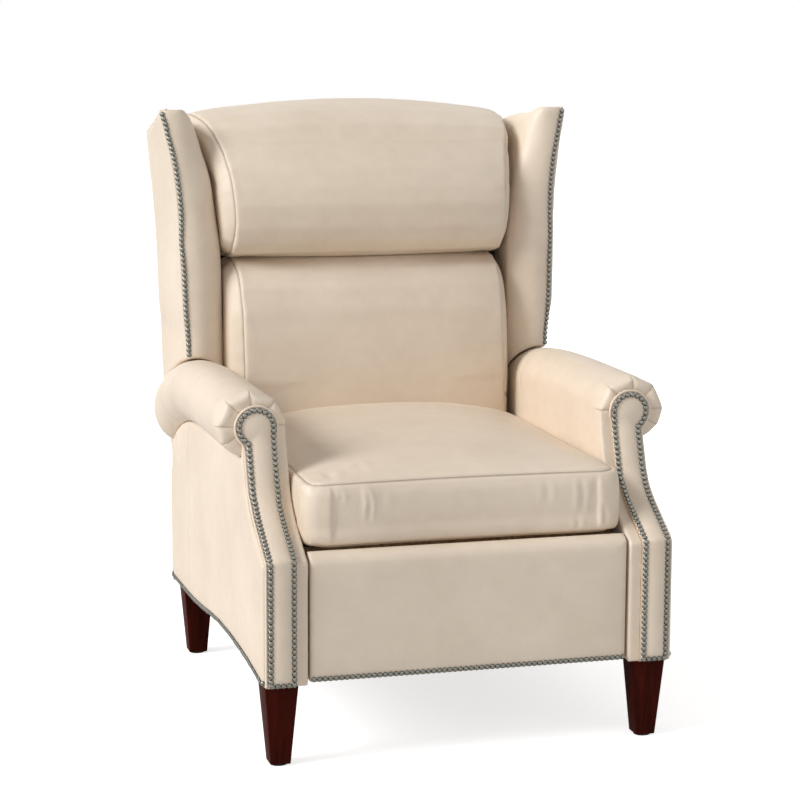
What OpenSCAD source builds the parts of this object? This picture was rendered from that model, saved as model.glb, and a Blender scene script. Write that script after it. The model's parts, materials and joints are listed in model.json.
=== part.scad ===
// High-leg wing recliner in leather. The back leans, the seat swings forward and the front
// panel lifts into a legrest. Millimetres, X right, Y to the rear, Z up. The origin lies on
// the floor under the middle of the chair.

/* [Overall] */
// Depth of the arms
arm_len = 845; // [820:5:870]
// Clear width between the arms
seat_w = 600; // [580:4:620]
// Height of the legs
leg_h = 150; // [130:5:180]
// Height of the outside back above the legs
back_rise = 950; // [920:5:1000]

/* [Legs] */
// Width of a leg at its top
leg_top_w = 61; // [50:1:70]
// Width of a leg at its foot
leg_foot_w = 37; // [30:1:45]
// Thickness of the nylon glide under a foot
glide_t = 3; // [2:0.5:5]
// Radius of a hanger bolt
bolt_r = 4; // [3:0.5:5]

/* [Arms] */
// Width of an arm at its foot
arm_w = 83; // [78:1:92]
// Height of the roll's centre above the recline pivot, at the front
arm_rise = 190; // [175:5:210]
// Radius of the arm roll at the front
roll_r = 60; // [54:1:64]
// Half the width of the arm roll
roll_half_w = 64; // [60:1:68]
// How far the top of the roll falls at the rear
roll_fall = 62; // [30:1:70]
// How far the roll's underside droops at the rear
roll_droop = 95; // [50:1:105]
// How far the arm top stands back from the arm foot
arm_setback = 167; // [150:1:180]
// Height of the knee, where the arm front starts to sweep back, above the legs
knee_rise = 228; // [215:1:240]
// Radius of the scroll head of an arm-front panel
head_r = 41; // [38:1:44]
// Width of an arm-front panel below its head
panel_w = 59; // [54:1:64]
// Thickness of an arm-front panel
panel_t = 8; // [6:0.5:10]
// Thickness of the inside arm pad
inside_t = 22; // [18:1:26]
// Thickness of the outside arm panel at the front
outside_t = 9; // [7:0.5:12]
// How much thicker the outside arm panel is at the rear
arm_splay = 9; // [0:1:12]
// Rise of the arch in the bottom edge of the arm
arch_rise = 24; // [10:1:30]

/* [Wings] */
// Height of the wing's ear above the legs
ear_rise = 985; // [950:5:1000]
// How far the wing flares outwards at its top
wing_flare = 28; // [10:1:32]
// How far the inner face of the wing flares outwards at its top
wing_lean = 70; // [40:2:74]
// How far the top of the wing falls to the rear
wing_fall = 50; // [40:1:60]
// How far the outer edge of the wing's top lies below its ridge
wing_scoop = 22; // [10:1:26]
// Gap between the wing and the arm roll under it
wing_gap = 4; // [3:0.5:8]

/* [Back] */
// Lean of the upright back from the vertical
rake = 9; // [7:0.5:11]
// Thickness of the outside back
outside_back_t = 12; // [10:1:14]
// Thickness of the back frame
back_frame_t = 40; // [34:1:44]
// Thickness of the inside back pad
inside_back_t = 20; // [16:1:22]
// How far the head cushion stands in front of the inside back
head_cushion_d = 190; // [170:2:196]
// How far the lumbar cushion stands in front of the inside back
lumbar_cushion_d = 171; // [160:1:176]
// How far the middle of a back cushion swells past its seams
back_crown = 18; // [8:1:24]

/* [Seat] */
// Height of the seat cushion between its seams
cushion_h = 114; // [100:2:120]
// Crown of the seat cushion above its top seam
seat_crown = 32; // [20:1:36]
// Height of the seat rails
seat_rail_h = 30; // [24:1:30]

/* [Linkage] */
// Angle that the legrest turns through
legrest_turn = 90; // [60:1:90]
// Length of a legrest main link between its pivots
main_len = 165; // [150:1:166]
// Length of a swing link between its pivots
swing_len = 95; // [85:1:96]
// How far the seat travels forward
seat_travel = 40; // [20:1:44]
// Thickness of the steel links
link_t = 4; // [3:0.5:4.5]
// Side gap between neighbouring links
pivot_gap = 3; // [2.5:0.5:3.5]
// Radius of the pivot pins
pin_r = 5; // [4:0.5:5.5]
// Width of a legrest link
link_w = 20; // [18:1:22]

/* [Hidden] */

leather = "#e6d5bf";
wood = "#c9a36b";
mahogany = "#4a1a10";
steel = "#8d9196";
cloth = "#4b4a47";

cut = 1;                 // overrun of a cut past the face it opens
seat_gap = 0.3;          // air between a soft piece and its neighbour
bore_clear = 0.05;       // radial running clearance of a pin
open_clear = 0.6;        // radial clearance at the pivots where a linkage closes
drive_clear = 2;         // radial clearance where the drive link meets the seat
head_t = 2;              // thickness of a rivet head
head_extra = 3;          // how far a rivet head stands out past its pin
head_air = 0.5;          // air under a rivet head

arm_x0 = seat_w / 2;
arm_x1 = arm_x0 + arm_w;
frame_x0 = arm_x0 + inside_t;
frame_x1 = arm_x1 - outside_t;
roll_x = arm_x0 + roll_half_w;
pivot_lift = 250;        // height of the recline pivot above the legs
roll_z = leg_h + pivot_lift + arm_rise;
knee_z = leg_h + knee_rise;
droop_power_share = 5.5;
head_in = 6.5;           // the scroll head lies this far inside the roll's centre
head_drop = 2;
head_cheek = 5;          // how far the head stands past the inner edge of the shaft
panel_lift = 2;

// Arm frame and base
rear_board_t = 8;
frame_d1 = arm_len - rear_board_t;
front_post_w = 74;
rear_post_w = 60;
bottom_rail_h = 118;
bottom_rail_z = leg_h + bottom_rail_h;
top_rail_h = 46;
base_rail_h = 16;        // the base rails lie flat under the swing of the links
base_rail_d = 22;
base_rail_lift = 2;
base_rail_z = leg_h + base_rail_lift;
rear_rail_h = 50;
front_rail_d = 62;
block = 25;
rear_block = 40;
rear_panel_h = 240;
pad_stop = 80;           // the inside arm pad stops this far before the arm's end
pad_lift = 222;
pad_bottom = leg_h + pad_lift;

leg_front_inset = 47.5;
leg_rear_inset = 30;
leg_side_inset = 36.5;
leg_d = [leg_front_inset, arm_len - leg_rear_inset];
leg_x = arm_x1 - leg_side_inset;
bolt_up = 46;
bolt_down = 40;

// Joints of the side view: where the back and the seat are hung
pivot_inset = 45;
recline_pivot = [arm_len - pivot_inset, leg_h + pivot_lift];

// Back: its outer face leans and stands behind the arms by back_stand at the pivot's height.
back_stand = 32;
back_z = leg_h + back_rise;
back_foot_lift = 258;
frame_foot_lift = 275;
frame_top_drop = 28;
frame_foot_z = leg_h + frame_foot_lift;
frame_top_z = back_z - frame_top_drop;
post_w = 44;
post_gap = 4;
post_x1 = arm_x0 - post_gap;
post_x0 = post_x1 - post_w;
back_rail_h = 46;
mid_rail_share = 0.55;
back_over = 5;
back_side = arm_x1 + arm_splay + back_over;
back_flare = 14;
flare_h = 200;
back_shoulder = 30;
frame_off = outside_back_t + back_frame_t;
wire = 3.6;
deck_off = frame_off + wire + seat_gap;
deck_front_off = deck_off + inside_back_t + seat_gap;
deck_inset = 4;

// Wings
wing_foot_lift = 493;
wing_z0 = leg_h + wing_foot_lift;
wing_z1 = leg_h + ear_rise;
wing_reach = 142;
wing_front = arm_len - wing_reach;
wing_in_gap = 1;
wing_in = arm_x0 + wing_in_gap;
wing_set = 3;
wing_out = arm_x1 - wing_set;
wing_swell = 14;
wing_inner_swell = 3;
wing_rear_lean = 45;
wing_sweep = 42;
wing_front_round = 32;
wing_bulge = 22;
wing_inner_drop = 30;
wing_sink = 30;          // the wing is drawn this far down into the roll, whose room is then cut out
ear_d = 25;
wing_post_w = 36;
wing_post_in = 11;
wing_post_x1 = back_side - wing_post_in;
wing_post_x0 = wing_post_x1 - wing_post_w;
wing_post_lift = 490;
wing_post_drop = 130;
wing_post_z0 = leg_h + wing_post_lift;
wing_post_z1 = back_z - wing_post_drop;
board_t = 18;
board_in = 46;
board_margin = 34;

// Seat
deck_lift = 236;
deck_z = leg_h + deck_lift;
deck_t = 3.8;
cushion_z = deck_z + deck_t + seat_gap;
cushion_side_gap = 6;
cushion_w = seat_w - 2 * cushion_side_gap;
cushion_front = 40;
cushion_stop = 145;
cushion_d = arm_len - cushion_stop - cushion_front;
cushion_corner = 36;
cushion_draw = 4;
cushion_puff = 5;
seat_rail_z = deck_z - wire - seat_rail_h;
seat_rail_w = 36;
spring_turns = 16;
spring_w = 52;
spring_pitch = 96;
spring_count = 5;
seat_frame_d0 = 98;
seat_frame_stop = 157;
seat_frame_d1 = arm_len - seat_frame_stop;
deck_front = 70;

// Mechanism planes, counted inwards from the rail on the arm frame
channel_d = 12;
web_x = frame_x0 - channel_d;
plane_pitch = link_t + pivot_gap;
rail_lift = 55;
rail_h = 57;
rail_z0 = leg_h + rail_lift;
rail_z1 = rail_z0 + rail_h;
rail_d0 = 120;
lip = 4;
ear_w = 30;
swing_top_lift = 188;
swing_top_z = leg_h + swing_top_lift;
swing_w = 24;
front_swing_d = 330;
rear_swing_stop = 265;
rear_swing_d = arm_len - rear_swing_stop;
swing_lean = asin(seat_travel / (2 * swing_len));
swing_foot = [swing_len * sin(swing_lean), -swing_len * cos(swing_lean)];
swing_tops = [[front_swing_d, swing_top_z], [rear_swing_d, swing_top_z]];
drive_drop = 70;
drive_reach = 110;
drive_rise = 6.35;
drive_foot = recline_pivot - [0, drive_drop];
drive_head = drive_foot + [-drive_reach, drive_rise];
drive_w = 20;
plate_lift = 150;
plate_h = 72;
plate_z0 = leg_h + plate_lift;
plate_z1 = plate_z0 + plate_h;
plate_w = 26;
bracket_low_lift = 340;
bracket_high_lift = 400;
strip_share = 0.8;       // width of a link between its eyes

// Legrest linkage, drawn closed
main_lean = 25;
main_pivot_d = 145;
main_pivot_lift = 190;
main_base = 80;
main_pivot = [main_pivot_d, leg_h + main_pivot_lift];
rear_pivot = main_pivot + [main_base, 0];
main_dir = [sin(main_lean), -cos(main_lean)];
main_foot = main_pivot + main_len * main_dir;
rear_foot = rear_pivot + main_len * main_dir;
rod_step = 49;
rod_foot = main_foot - rod_step * main_dir;
bracket_d = 92;
bracket_lift = 172;
bracket_pivot = [bracket_d, leg_h + bracket_lift];
rod_head = bracket_pivot - rod_step * main_dir;
tube_step = 30;
tube_centre = main_pivot + tube_step * main_dir;
tube_r = 11;
tube_wall = 1.6;
bar_w = 18;

// Legrest panel
pad_front = 10;
pad_t = 30;
pad_low_lift = 5;
pad_high_lift = 247;
pad_z0 = leg_h + pad_low_lift;
pad_z1 = leg_h + pad_high_lift;
pad_round = 26;
pad_side_gap = 4;
pad_w = seat_w - 2 * pad_side_gap;
legrest_board_t = 15;
board_low_lift = 15;
board_high_lift = 232;
legrest_board_z0 = leg_h + board_low_lift;
legrest_board_z1 = leg_h + board_high_lift;
bracket_flange_t = 3;
bracket_flange_w = 30;
flange_low_lift = 150;
flange_high_lift = 228;
bracket_z0 = leg_h + flange_low_lift;
bracket_z1 = leg_h + flange_high_lift;

// Stations and facets of the soft forms
arc_n = 96;
roll_arc = 22;
roll_steps = 12;
ring_n = 48;
wing_front_n = 9;
wing_side_n = 6;
wing_steps = 12;
corner_n = 8;
side_n = 5;

// Sweep of the arm front from its knee to its neck, as shares of the setback and of the
// height from the knee to the roll's centre: two runs of handles.
sweep_low_share = [0.47, 0.225];
sweep_shares = [[0.68, 0.325], [0.79, 0.43], [0.84, 0.53], [0.90, 0.67], [1, 0.84], [1, 0.93]];
// Lower edge of the outside arm: shares of the arm's depth and of the arch's rise.
arch_shares = [[0.02, 0], [0.1, 0.55], [0.24, 1], [0.4, 1], [0.52, 1], [0.62, 0.29], [0.82, 0.29]];
// Profile of the head cushion: forward reach and height, from the foot round the front,
// over the top and down the back.
head_shares = [[0.10, 0], [0.38, 0], [0.72, 0.045], [0.86, 0.12], [0.96, 0.25], [1, 0.385],
  [0.98, 0.51], [0.92, 0.64], [0.805, 0.765], [0.64, 0.89], [0.35, 0.965], [-0.04, 1],
  [-0.27, 0.985], [-0.32, 0.94], [-0.27, 0.925], [0, 0.925], [0, 0.5], [0, 0.1]];
head_lift = 682;
head_z0 = leg_h + head_lift;
head_h = 279;
head_top_crown = 28;
head_side_gap = 16;
head_half = [seat_w / 2 - head_side_gap, 47];
// Profile of the lumbar cushion, whose foot reaches down behind the seat cushion.
lumbar_shares = [[0.10, 0], [0.33, 0], [0.49, 0.02], [0.54, 0.12], [0.62, 0.215], [0.77, 0.262],
  [0.92, 0.31], [0.985, 0.39], [0.995, 0.49], [1, 0.61], [1, 0.745], [0.955, 0.85],
  [0.83, 0.94], [0.62, 0.985], [0.36, 0.995], [0.05, 0.985], [0, 0.92], [0, 0.5], [0, 0.05]];
lumbar_lift = 282;
lumbar_z0 = leg_h + lumbar_lift;
lumbar_h = 398;
lumbar_side_gap = 26;
lumbar_half = [seat_w / 2 - lumbar_side_gap, 4];
end_puff = 8;

function mix(a, b, t) = a + (b - a) * t;
function ramp(t) = max(0, min(1, t));
function bezier(p, n) = [for (i = [1:n]) let (t = i / n, s = 1 - t)
  s * s * s * p[0] + 3 * s * s * t * p[1] + 3 * s * t * t * p[2] + t * t * t * p[3]];

// Depth of the outer face of the outside back at a height, and of a face in front of it.
function plane_d(z) = arm_len + back_stand + (z - recline_pivot.y) * tan(rake);
function back_d(z, off) = plane_d(z) - off / cos(rake);
chair_d = plane_d(back_z);

// Arm roll along its length: top, underside, and the line where it meets the outside arm.
function roll_t(d) = ramp((d - arm_setback) / (arm_len - arm_setback));
function droop(d) = pow(roll_t(d), droop_power_share);
function roll_top(d) = roll_z + roll_r - roll_fall * droop(d);
function roll_low(d) = roll_z - roll_r - roll_droop * droop(d);
function roll_mid(d) = (roll_top(d) + roll_low(d)) / 2;
function roll_rz(d) = (roll_top(d) - roll_low(d)) / 2;
function arm_outer(d) = arm_x1 + arm_splay * ramp(d / arm_len);
function roll_end(d) = acos((arm_outer(d) - roll_x) / roll_half_w);
function roll_seat(d) = roll_mid(d) - roll_rz(d) * sin(roll_end(d));

// Front line of the arm from the foot to the height top, set in by a depth.
function sweep_point(s) = [s.x * arm_setback, mix(knee_z, roll_z, s.y)];
function sweep_line() = let (low = sweep_point(sweep_low_share), p = [for (s = sweep_shares) sweep_point(s)])
  concat([[0, knee_z], low], bezier([low, p[0], p[1], p[2]], 8), bezier([p[2], p[3], p[4], p[5]], 8));
function inward(p, q) = let (v = (q - p) / norm(q - p)) [v.y, -v.x];
function set_in(line, t) = [for (i = [0:len(line) - 1])
  let (a = line[max(0, i - 1)], b = line[min(len(line) - 1, i + 1)], m = inward(a, b)) line[i] + t * m];
function arm_front(t, top) = let (line = concat([[0, mix(leg_h, knee_z, 0.8)]], sweep_line(),
  [[arm_setback, roll_z]]), s = set_in(line, t))
  concat([[t, leg_h]], s, [[arm_setback + t, top]]);

// Bottom edge of the arm, an arch that the frame leaves flat over the legs.
function arch_point(p) = [p.x * arm_len, leg_h + arch_rise * p.y];
arch_line = let (p = [for (q = arch_shares) arch_point(q)])
  concat([[panel_t, leg_h]], bezier([p[0], p[1], p[2], p[3]], 8), bezier([p[3], p[4], p[5], p[6]], 8),
    [[frame_d1, p[6].y]]);
// The roll is straight between its stations, and so is the line that it sits on.
function roll_station(i) = mix(arm_setback + panel_t + end_round, arm_len - end_round, i / roll_steps);
function roll_foot(d) = let (s = (d - roll_station(0)) / (roll_station(1) - roll_station(0)),
  i = max(0, min(roll_steps - 1, floor(s))))
  mix(roll_seat(roll_station(i)), roll_seat(roll_station(i + 1)), s - i);
function seat_line(d0, d1, under) = [for (d = concat([d0],
  [for (i = [0:roll_steps]) if (roll_station(i) > d0 && roll_station(i) < d1) roll_station(i)], [d1]))
  [d, roll_foot(d) - under]];
function back_to_front(line) = [for (i = [len(line) - 1:-1:0]) line[i]];

// Solid through rings that run counter-clockwise seen from the last ring's end.
module loft(rings, first, last) {
  n = len(rings[0]);
  m = len(rings);
  points = concat([for (r = rings, p = r) p], [first, last]);
  faces = concat(
    [for (i = [0:m - 2], j = [0:n - 1]) let (k = (j + 1) % n) [i * n + j, (i + 1) * n + k, i * n + k]],
    [for (i = [0:m - 2], j = [0:n - 1]) let (k = (j + 1) % n) [i * n + j, (i + 1) * n + j, (i + 1) * n + k]],
    [for (j = [0:n - 1]) [m * n, j, (j + 1) % n]],
    [for (j = [0:n - 1]) [m * n + 1, (m - 1) * n + (j + 1) % n, (m - 1) * n + j]]);
  polyhedron(points, faces);
}

// The whole chair is drawn with its depth counted from the arm fronts.
module placed() {
  translate([0, -chair_d / 2, 0]) children();
}

module left() {
  mirror([1, 0, 0]) children();
}

module both() {
  children();
  left() children();
}

// A side view drawn as depth and height, given a width from x0 to x1.
module slab(x0, x1) {
  translate([x0, 0, 0]) rotate([90, 0, 90]) linear_extrude(x1 - x0) children();
}

// A front view drawn as width and height, lying on the back's rake at an offset forwards.
module on_rake(off, t) {
  translate([0, chair_d, back_z]) rotate([90 - rake, 0, 0]) translate([0, 0, off]) linear_extrude(t)
    children();
}
function up(z) = (z - back_z) / cos(rake);

// A flat link: round eyes joined by a narrower strip.
module bar(points, w) {
  strip = w * strip_share;
  for (i = [0:len(points) - 2]) {
    v = points[i + 1] - points[i];
    translate(points[i]) rotate(atan2(v.y, v.x)) translate([0, -strip / 2]) square([norm(v), strip]);
  }
  for (p = points) translate(p) circle(d = w, $fn = arc_n);
}

module drilled(holes, r) {
  difference() {
    children();
    for (p = holes) translate(p) circle(r = r, $fn = arc_n);
  }
}

function plane_x(i) = web_x - (i + 1) * plane_pitch;

module in_plane(i) {
  slab(plane_x(i), plane_x(i) + link_t) children();
}

// A pin along X at a side-view point, with a head at one end.
module pin(p, x0, x1, head_x) {
  translate([x0, p.x, p.y]) rotate([0, 90, 0]) cylinder(r = pin_r, h = x1 - x0, $fn = arc_n);
  translate([head_x, p.x, p.y]) rotate([0, 90, 0]) cylinder(r = pin_r + head_extra, h = head_t, $fn = arc_n);
}

// A pin seated in an outer plane, whose head lies inside an inner plane, or the reverse.
module pin_inwards(p, from_x, plane) {
  pin(p, plane_x(plane) - head_air - head_t, from_x, plane_x(plane) - head_air - head_t);
}

module pin_outwards(p, from_x, plane) {
  pin(p, from_x, plane_x(plane) + link_t + head_air + head_t, plane_x(plane) + link_t + head_air);
}

// Base

module leg(d) {
  color(mahogany) translate([leg_x, d, glide_t]) difference() {
    taper = (leg_top_w - leg_foot_w) / 2;
    intersection() {
      slab(-leg_top_w / 2, leg_top_w / 2) leg_side(taper);
      rotate([0, 0, 90]) slab(-leg_top_w / 2, leg_top_w / 2) leg_side(taper);
    }
    translate([0, 0, leg_h - glide_t - bolt_down]) cylinder(r = bolt_r, h = bolt_down + cut, $fn = arc_n);
  }
}

module leg_side(taper) {
  h = leg_h - glide_t;
  polygon([[taper - leg_top_w / 2, 0], [leg_top_w / 2 - taper, 0], [leg_top_w / 2, h], [-leg_top_w / 2, h]]);
}

module at_legs() {
  both() for (d = leg_d) translate([leg_x, d, 0]) children();
}

module leg_glides() {
  color("dimgray") at_legs() cylinder(d = leg_foot_w - 2 * glide_t, h = glide_t, $fn = arc_n);
}

module hanger_bolts() {
  color(steel) at_legs() translate([0, 0, leg_h - bolt_down])
    cylinder(r = bolt_r, h = bolt_down + bolt_up, $fn = arc_n);
}

module bolt_holes() {
  for (d = leg_d) translate([leg_x, d, leg_h - cut])
    cylinder(r = bolt_r, h = bolt_up + cut, $fn = arc_n);
}

module corner_blocks() {
  color(wood) both() translate([0, 0, base_rail_z]) linear_extrude(base_rail_h) {
    front = front_rail_d + base_rail_d;
    rear = frame_d1 - base_rail_d;
    polygon([[frame_x0, front], [frame_x0, front + block], [frame_x0 - block, front]]);
    polygon([[frame_x0, rear], [frame_x0 - rear_block, rear], [frame_x0, rear - rear_block]]);
  }
}

module front_rail() {
  color(wood) translate([-frame_x0, front_rail_d, base_rail_z]) cube([2 * frame_x0, base_rail_d, base_rail_h]);
}

module rear_rail() {
  color(wood) translate([-frame_x0, frame_d1 - base_rail_d, base_rail_z])
    cube([2 * frame_x0, base_rail_d, rear_rail_h]);
}

module rear_panel() {
  w = arm_outer(arm_len);
  color(leather) translate([-w, frame_d1, leg_h]) cube([2 * w, rear_board_t, rear_panel_h]);
}

// Arms

module arm_outline(t, under) {
  front = arm_front(t, roll_seat(arm_setback + t) - under);
  polygon(concat(front, seat_line(arm_setback + t + cut, frame_d1, under), back_to_front(arch_line)));
}

// Side view of the arm frame, whose foot is flat where the legs stand.
module arm_frame_part() {
  slab(frame_x0, frame_x1) intersection() {
    union() {
      arm_outline(panel_t, seat_gap);
      for (d = leg_d) intersection() {
        translate([d - leg_top_w / 2, leg_h]) square([leg_top_w, arch_rise]);
        translate([panel_t, leg_h]) square([frame_d1 - panel_t, arch_rise]);
      }
    }
    children();
  }
}

module arm_front_posts() {
  color(wood) both() difference() {
    arm_frame_part() front_post_zone();
    bolt_holes();
  }
}

rail_split = roll_z - roll_r - top_rail_h;

// The front post follows the arm's sweep and is a post's width deep behind it.
module front_post_zone() {
  line = arm_front(panel_t, roll_seat(arm_setback));
  intersection() {
    polygon(concat(line, [for (p = back_to_front(line)) p + [front_post_w, 0]]));
    translate([0, leg_h]) square([arm_len, rail_split - leg_h]);
  }
}

module arm_rear_posts() {
  color(wood) both() difference() {
    arm_frame_part() translate([frame_d1 - rear_post_w, leg_h])
      square([rear_post_w, roll_seat(frame_d1) - top_rail_h - leg_h]);
    bolt_holes();
  }
}

module arm_bottom_rails() {
  color(wood) both() arm_frame_part() translate([panel_t + front_post_w, leg_h])
    square([frame_d1 - rear_post_w - panel_t - front_post_w, bottom_rail_h]);
}

// The top rail rides over both posts, under the roll, and bends down behind with it.
module arm_top_rails() {
  d0 = arm_setback + panel_t + front_post_w;
  rear_z = roll_seat(frame_d1) - top_rail_h;
  under = [for (p = seat_line(d0 + cut, frame_d1 - rear_post_w, top_rail_h)) [p.x, min(p.y, rail_split)]];
  color(wood) both() arm_frame_part() difference() {
    translate([arm_setback - cut, leg_h]) square([arm_len, roll_z - leg_h]);
    polygon(concat([[0, leg_h], [0, rail_split], [d0, rail_split]], under,
      [[frame_d1 - rear_post_w, rear_z], [frame_d1 + cut, rear_z], [frame_d1 + cut, leg_h]]));
  }
}

module inside_arm() {
  color(leather) slab(arm_x0 + seat_gap, frame_x0) intersection() {
    arm_outline(panel_t, seat_gap);
    union() {
      translate([0, pad_bottom]) square([arm_len - pad_stop, roll_z - pad_bottom]);
      translate([0, leg_h]) square([front_rail_d, roll_z - leg_h]);
    }
  }
}

// The outside arm panel thickens to the rear.
module outside_arm() {
  color(leather) intersection() {
    slab(frame_x1, arm_outer(arm_len)) arm_outline(panel_t, seat_gap);
    linear_extrude(roll_z) polygon([[frame_x1, 0], [arm_outer(0), 0], [arm_outer(arm_len), arm_len],
      [frame_x1, arm_len]]);
  }
}

// Section of the roll at a depth, drawn from the inner foot over the top to the outer foot.
function roll_ring(d, s) = let (cz = roll_mid(d), rz = roll_rz(d), zb = roll_seat(d), xo = arm_outer(d))
  [for (p = concat([[arm_x0, zb], [arm_x0, mix(zb, cz, 0.5)]],
    [for (i = [0:roll_arc]) let (a = mix(180, -roll_end(d), i / roll_arc))
      [roll_x + roll_half_w * cos(a), cz + rz * sin(a)]],
    [[mix(roll_x, xo, 0.5), zb], [mix(arm_x0, roll_x, 0.5), zb]]))
    [mix(roll_x, p.x, s), d, mix(cz, p.y, s)]];

// Rounding of the roll's two ends: shares of end_round and of the section.
end_round = 14;
front_end_shares = [[0, 0.86], [0.25, 0.95]];
rear_end_shares = [[0.25, 0.94], [0, 0.84]];

module arm_roll() {
  d0 = arm_setback + panel_t;
  rings = concat([for (e = front_end_shares) roll_ring(d0 + e[0] * end_round, e[1])],
    [for (i = [0:roll_steps]) roll_ring(roll_station(i), 1)],
    [for (e = rear_end_shares) roll_ring(arm_len - e[0] * end_round, e[1])]);
  color(leather) loft(rings, [roll_x, d0, roll_z], [roll_x, arm_len, roll_mid(arm_len)]);
}

// Scroll-headed panel that lies along the sweep of the arm front.
module arm_front_panel() {
  head_x = roll_x - head_in;
  top = roll_z + roll_r;
  foot_z = leg_h + panel_lift;
  color(leather) intersection() {
    slab(arm_x0, arm_x1 + head_r) polygon(concat(arm_front(0, top), back_to_front(arm_front(panel_t, top))));
    translate([0, arm_setback + panel_t + cut, 0]) rotate([90, 0, 0])
      linear_extrude(arm_setback + panel_t + 2 * cut) union() {
        translate([head_x, roll_z - head_drop]) circle(r = head_r, $fn = arc_n);
        translate([head_x - head_r + head_cheek, foot_z]) square([panel_w, roll_z - foot_z]);
      }
  }
}

// Mechanism on the arm frames

module mechanism_rails() {
  color(steel) both() {
    slab(web_x, web_x + link_t) drilled(concat(swing_tops, [recline_pivot]), pin_r) union() {
      translate([rail_d0, rail_z0]) square([frame_d1 - rail_d0, rail_z1 - rail_z0]);
      for (p = swing_tops) bar([[p.x, rail_z1 - ear_w / 2], p], ear_w);
      bar([[recline_pivot.x, rail_z1 - ear_w / 2], recline_pivot], ear_w);
    }
    for (z = [rail_z0, rail_z1 - lip]) translate([web_x + link_t, rail_d0, z])
      cube([frame_x0 - web_x - link_t, frame_d1 - rail_d0, lip]);
  }
}

module base_pivots() {
  color(steel) both() {
    for (p = swing_tops) pin_inwards(p, web_x + link_t, 0);
    pin_inwards(recline_pivot, web_x + link_t, 1);
  }
}

module swing_links(top) {
  color(steel) both() in_plane(0) drilled([top, top + swing_foot], pin_r + bore_clear)
    bar([top, top + swing_foot], swing_w);
}

// Seat

module seat_side_rails() {
  color(wood) both() translate([post_x1 - seat_rail_w, seat_frame_d0, seat_rail_z])
    cube([seat_rail_w, seat_frame_d1 - seat_frame_d0, seat_rail_h]);
}

module seat_cross_rails() {
  w = post_x1 - seat_rail_w;
  color(wood) for (d = [seat_frame_d0, seat_frame_d1 - seat_rail_w])
    translate([-w, d, seat_rail_z]) cube([2 * w, seat_rail_w, seat_rail_h]);
}

// A sinuous spring lying flat: half turns joined by short straights.
module sinuous(length, turns, width) {
  pitch = length / turns;
  r = (pitch + wire) / 2;
  reach = width / 2 - r;
  for (i = [0:turns - 1]) translate([i * pitch, 0]) {
    side = i % 2 == 0 ? 1 : -1;
    translate([pitch / 2, side * reach]) intersection() {
      difference() {
        circle(r = r, $fn = ring_n);
        circle(r = r - wire, $fn = ring_n);
      }
      translate([-r, side > 0 ? 0 : -r]) square([2 * r, r]);
    }
  }
  for (i = [1:turns - 1]) translate([i * pitch - wire / 2, -reach]) square([wire, 2 * reach]);
  translate([-wire / 2, 0]) square([wire, reach]);
  end_side = turns % 2 == 0 ? -reach : 0;
  translate([length - wire / 2, end_side]) square([wire, reach]);
}

module seat_springs() {
  length = seat_frame_d1 - seat_frame_d0 - seat_rail_w;
  color(steel) for (i = [0:spring_count - 1])
    translate([(i - (spring_count - 1) / 2) * spring_pitch, seat_frame_d0 + seat_rail_w / 2, deck_z - wire])
      rotate(90) linear_extrude(wire - seat_gap) sinuous(length, spring_turns, spring_w);
}

module seat_deck() {
  color(cloth) translate([-post_x1, deck_front, deck_z - seat_gap])
    cube([2 * post_x1, seat_frame_d1 - deck_front, deck_t]);
}

// Plan of the seat cushion: a rounded rectangle whose sides are drawn in between the corners.
function plan_ring(hw, hd, r) = [for (q = [0:3]) let (sx = [1, -1, -1, 1][q], sy = [1, 1, -1, -1][q],
  nx = [-1, -1, 1, 1][q], ny = [1, -1, -1, 1][q])
  for (p = concat([for (i = [0:corner_n]) let (a = 90 * (q + i / corner_n))
      [sx * (hw - r) + r * cos(a), sy * (hd - r) + r * sin(a)]],
    [for (i = [1:side_n - 1]) let (t = i / side_n) q % 2 == 0 ? [mix(hw - r, r - hw, t) * sx, sy * hd]
      : [sx * hw, mix(hd - r, r - hd, t) * sy]]))
    [p.x * (1 - cushion_draw / hw * (1 - pow(p.y / hd, 2))), p.y * (1 - cushion_draw / hd * (1 - pow(p.x / hw, 2)))]];
function cushion_ring(s, z, puff, crowned) = let (hw = cushion_w / 2 + puff, hd = cushion_d / 2 + puff)
  [for (q = plan_ring(hw, hd, cushion_corner + puff)) let (p = q * s,
    ends = 1 - pow(abs(p.y) / hd, p.y > 0 ? 14 : 6),
    crown = crowned ? seat_crown * (1 - pow(abs(p.x) / hw, 2.4)) * ends : 0)
    [p.x, p.y + cushion_front + cushion_d / 2, z + crown]];

module seat_cushion() {
  z0 = cushion_z;
  z1 = cushion_z + cushion_h;
  inset = 0.985;
  rings = concat([for (s = [0.35, inset]) cushion_ring(s, z0, -cushion_puff, false)],
    [for (t = [0.06, 0.3, 0.5, 0.7, 0.96])
      cushion_ring(1, mix(z0, z1, t), cushion_puff * (4 * t * (1 - t) - 1), false)],
    [for (s = [inset, 0.93, 0.8, 0.62, 0.42, 0.2]) cushion_ring(s, z1, -cushion_puff, true)]);
  mid = [0, cushion_front + cushion_d / 2, z0];
  color(leather) loft(rings, mid, mid + [0, 0, cushion_h + seat_crown]);
}

module seat_side_plates() {
  feet = [for (p = swing_tops) p + swing_foot];
  color(steel) both() in_plane(1) drilled(concat([main_pivot, rear_pivot, drive_head], feet), pin_r) union() {
    translate([main_pivot.x - plate_w / 2, plate_z0])
      square([drive_head.x - main_pivot.x + plate_w, plate_h]);
    for (p = feet) bar([p, [p.x, plate_z0 + plate_w / 2]], plate_w);
  }
}

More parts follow.
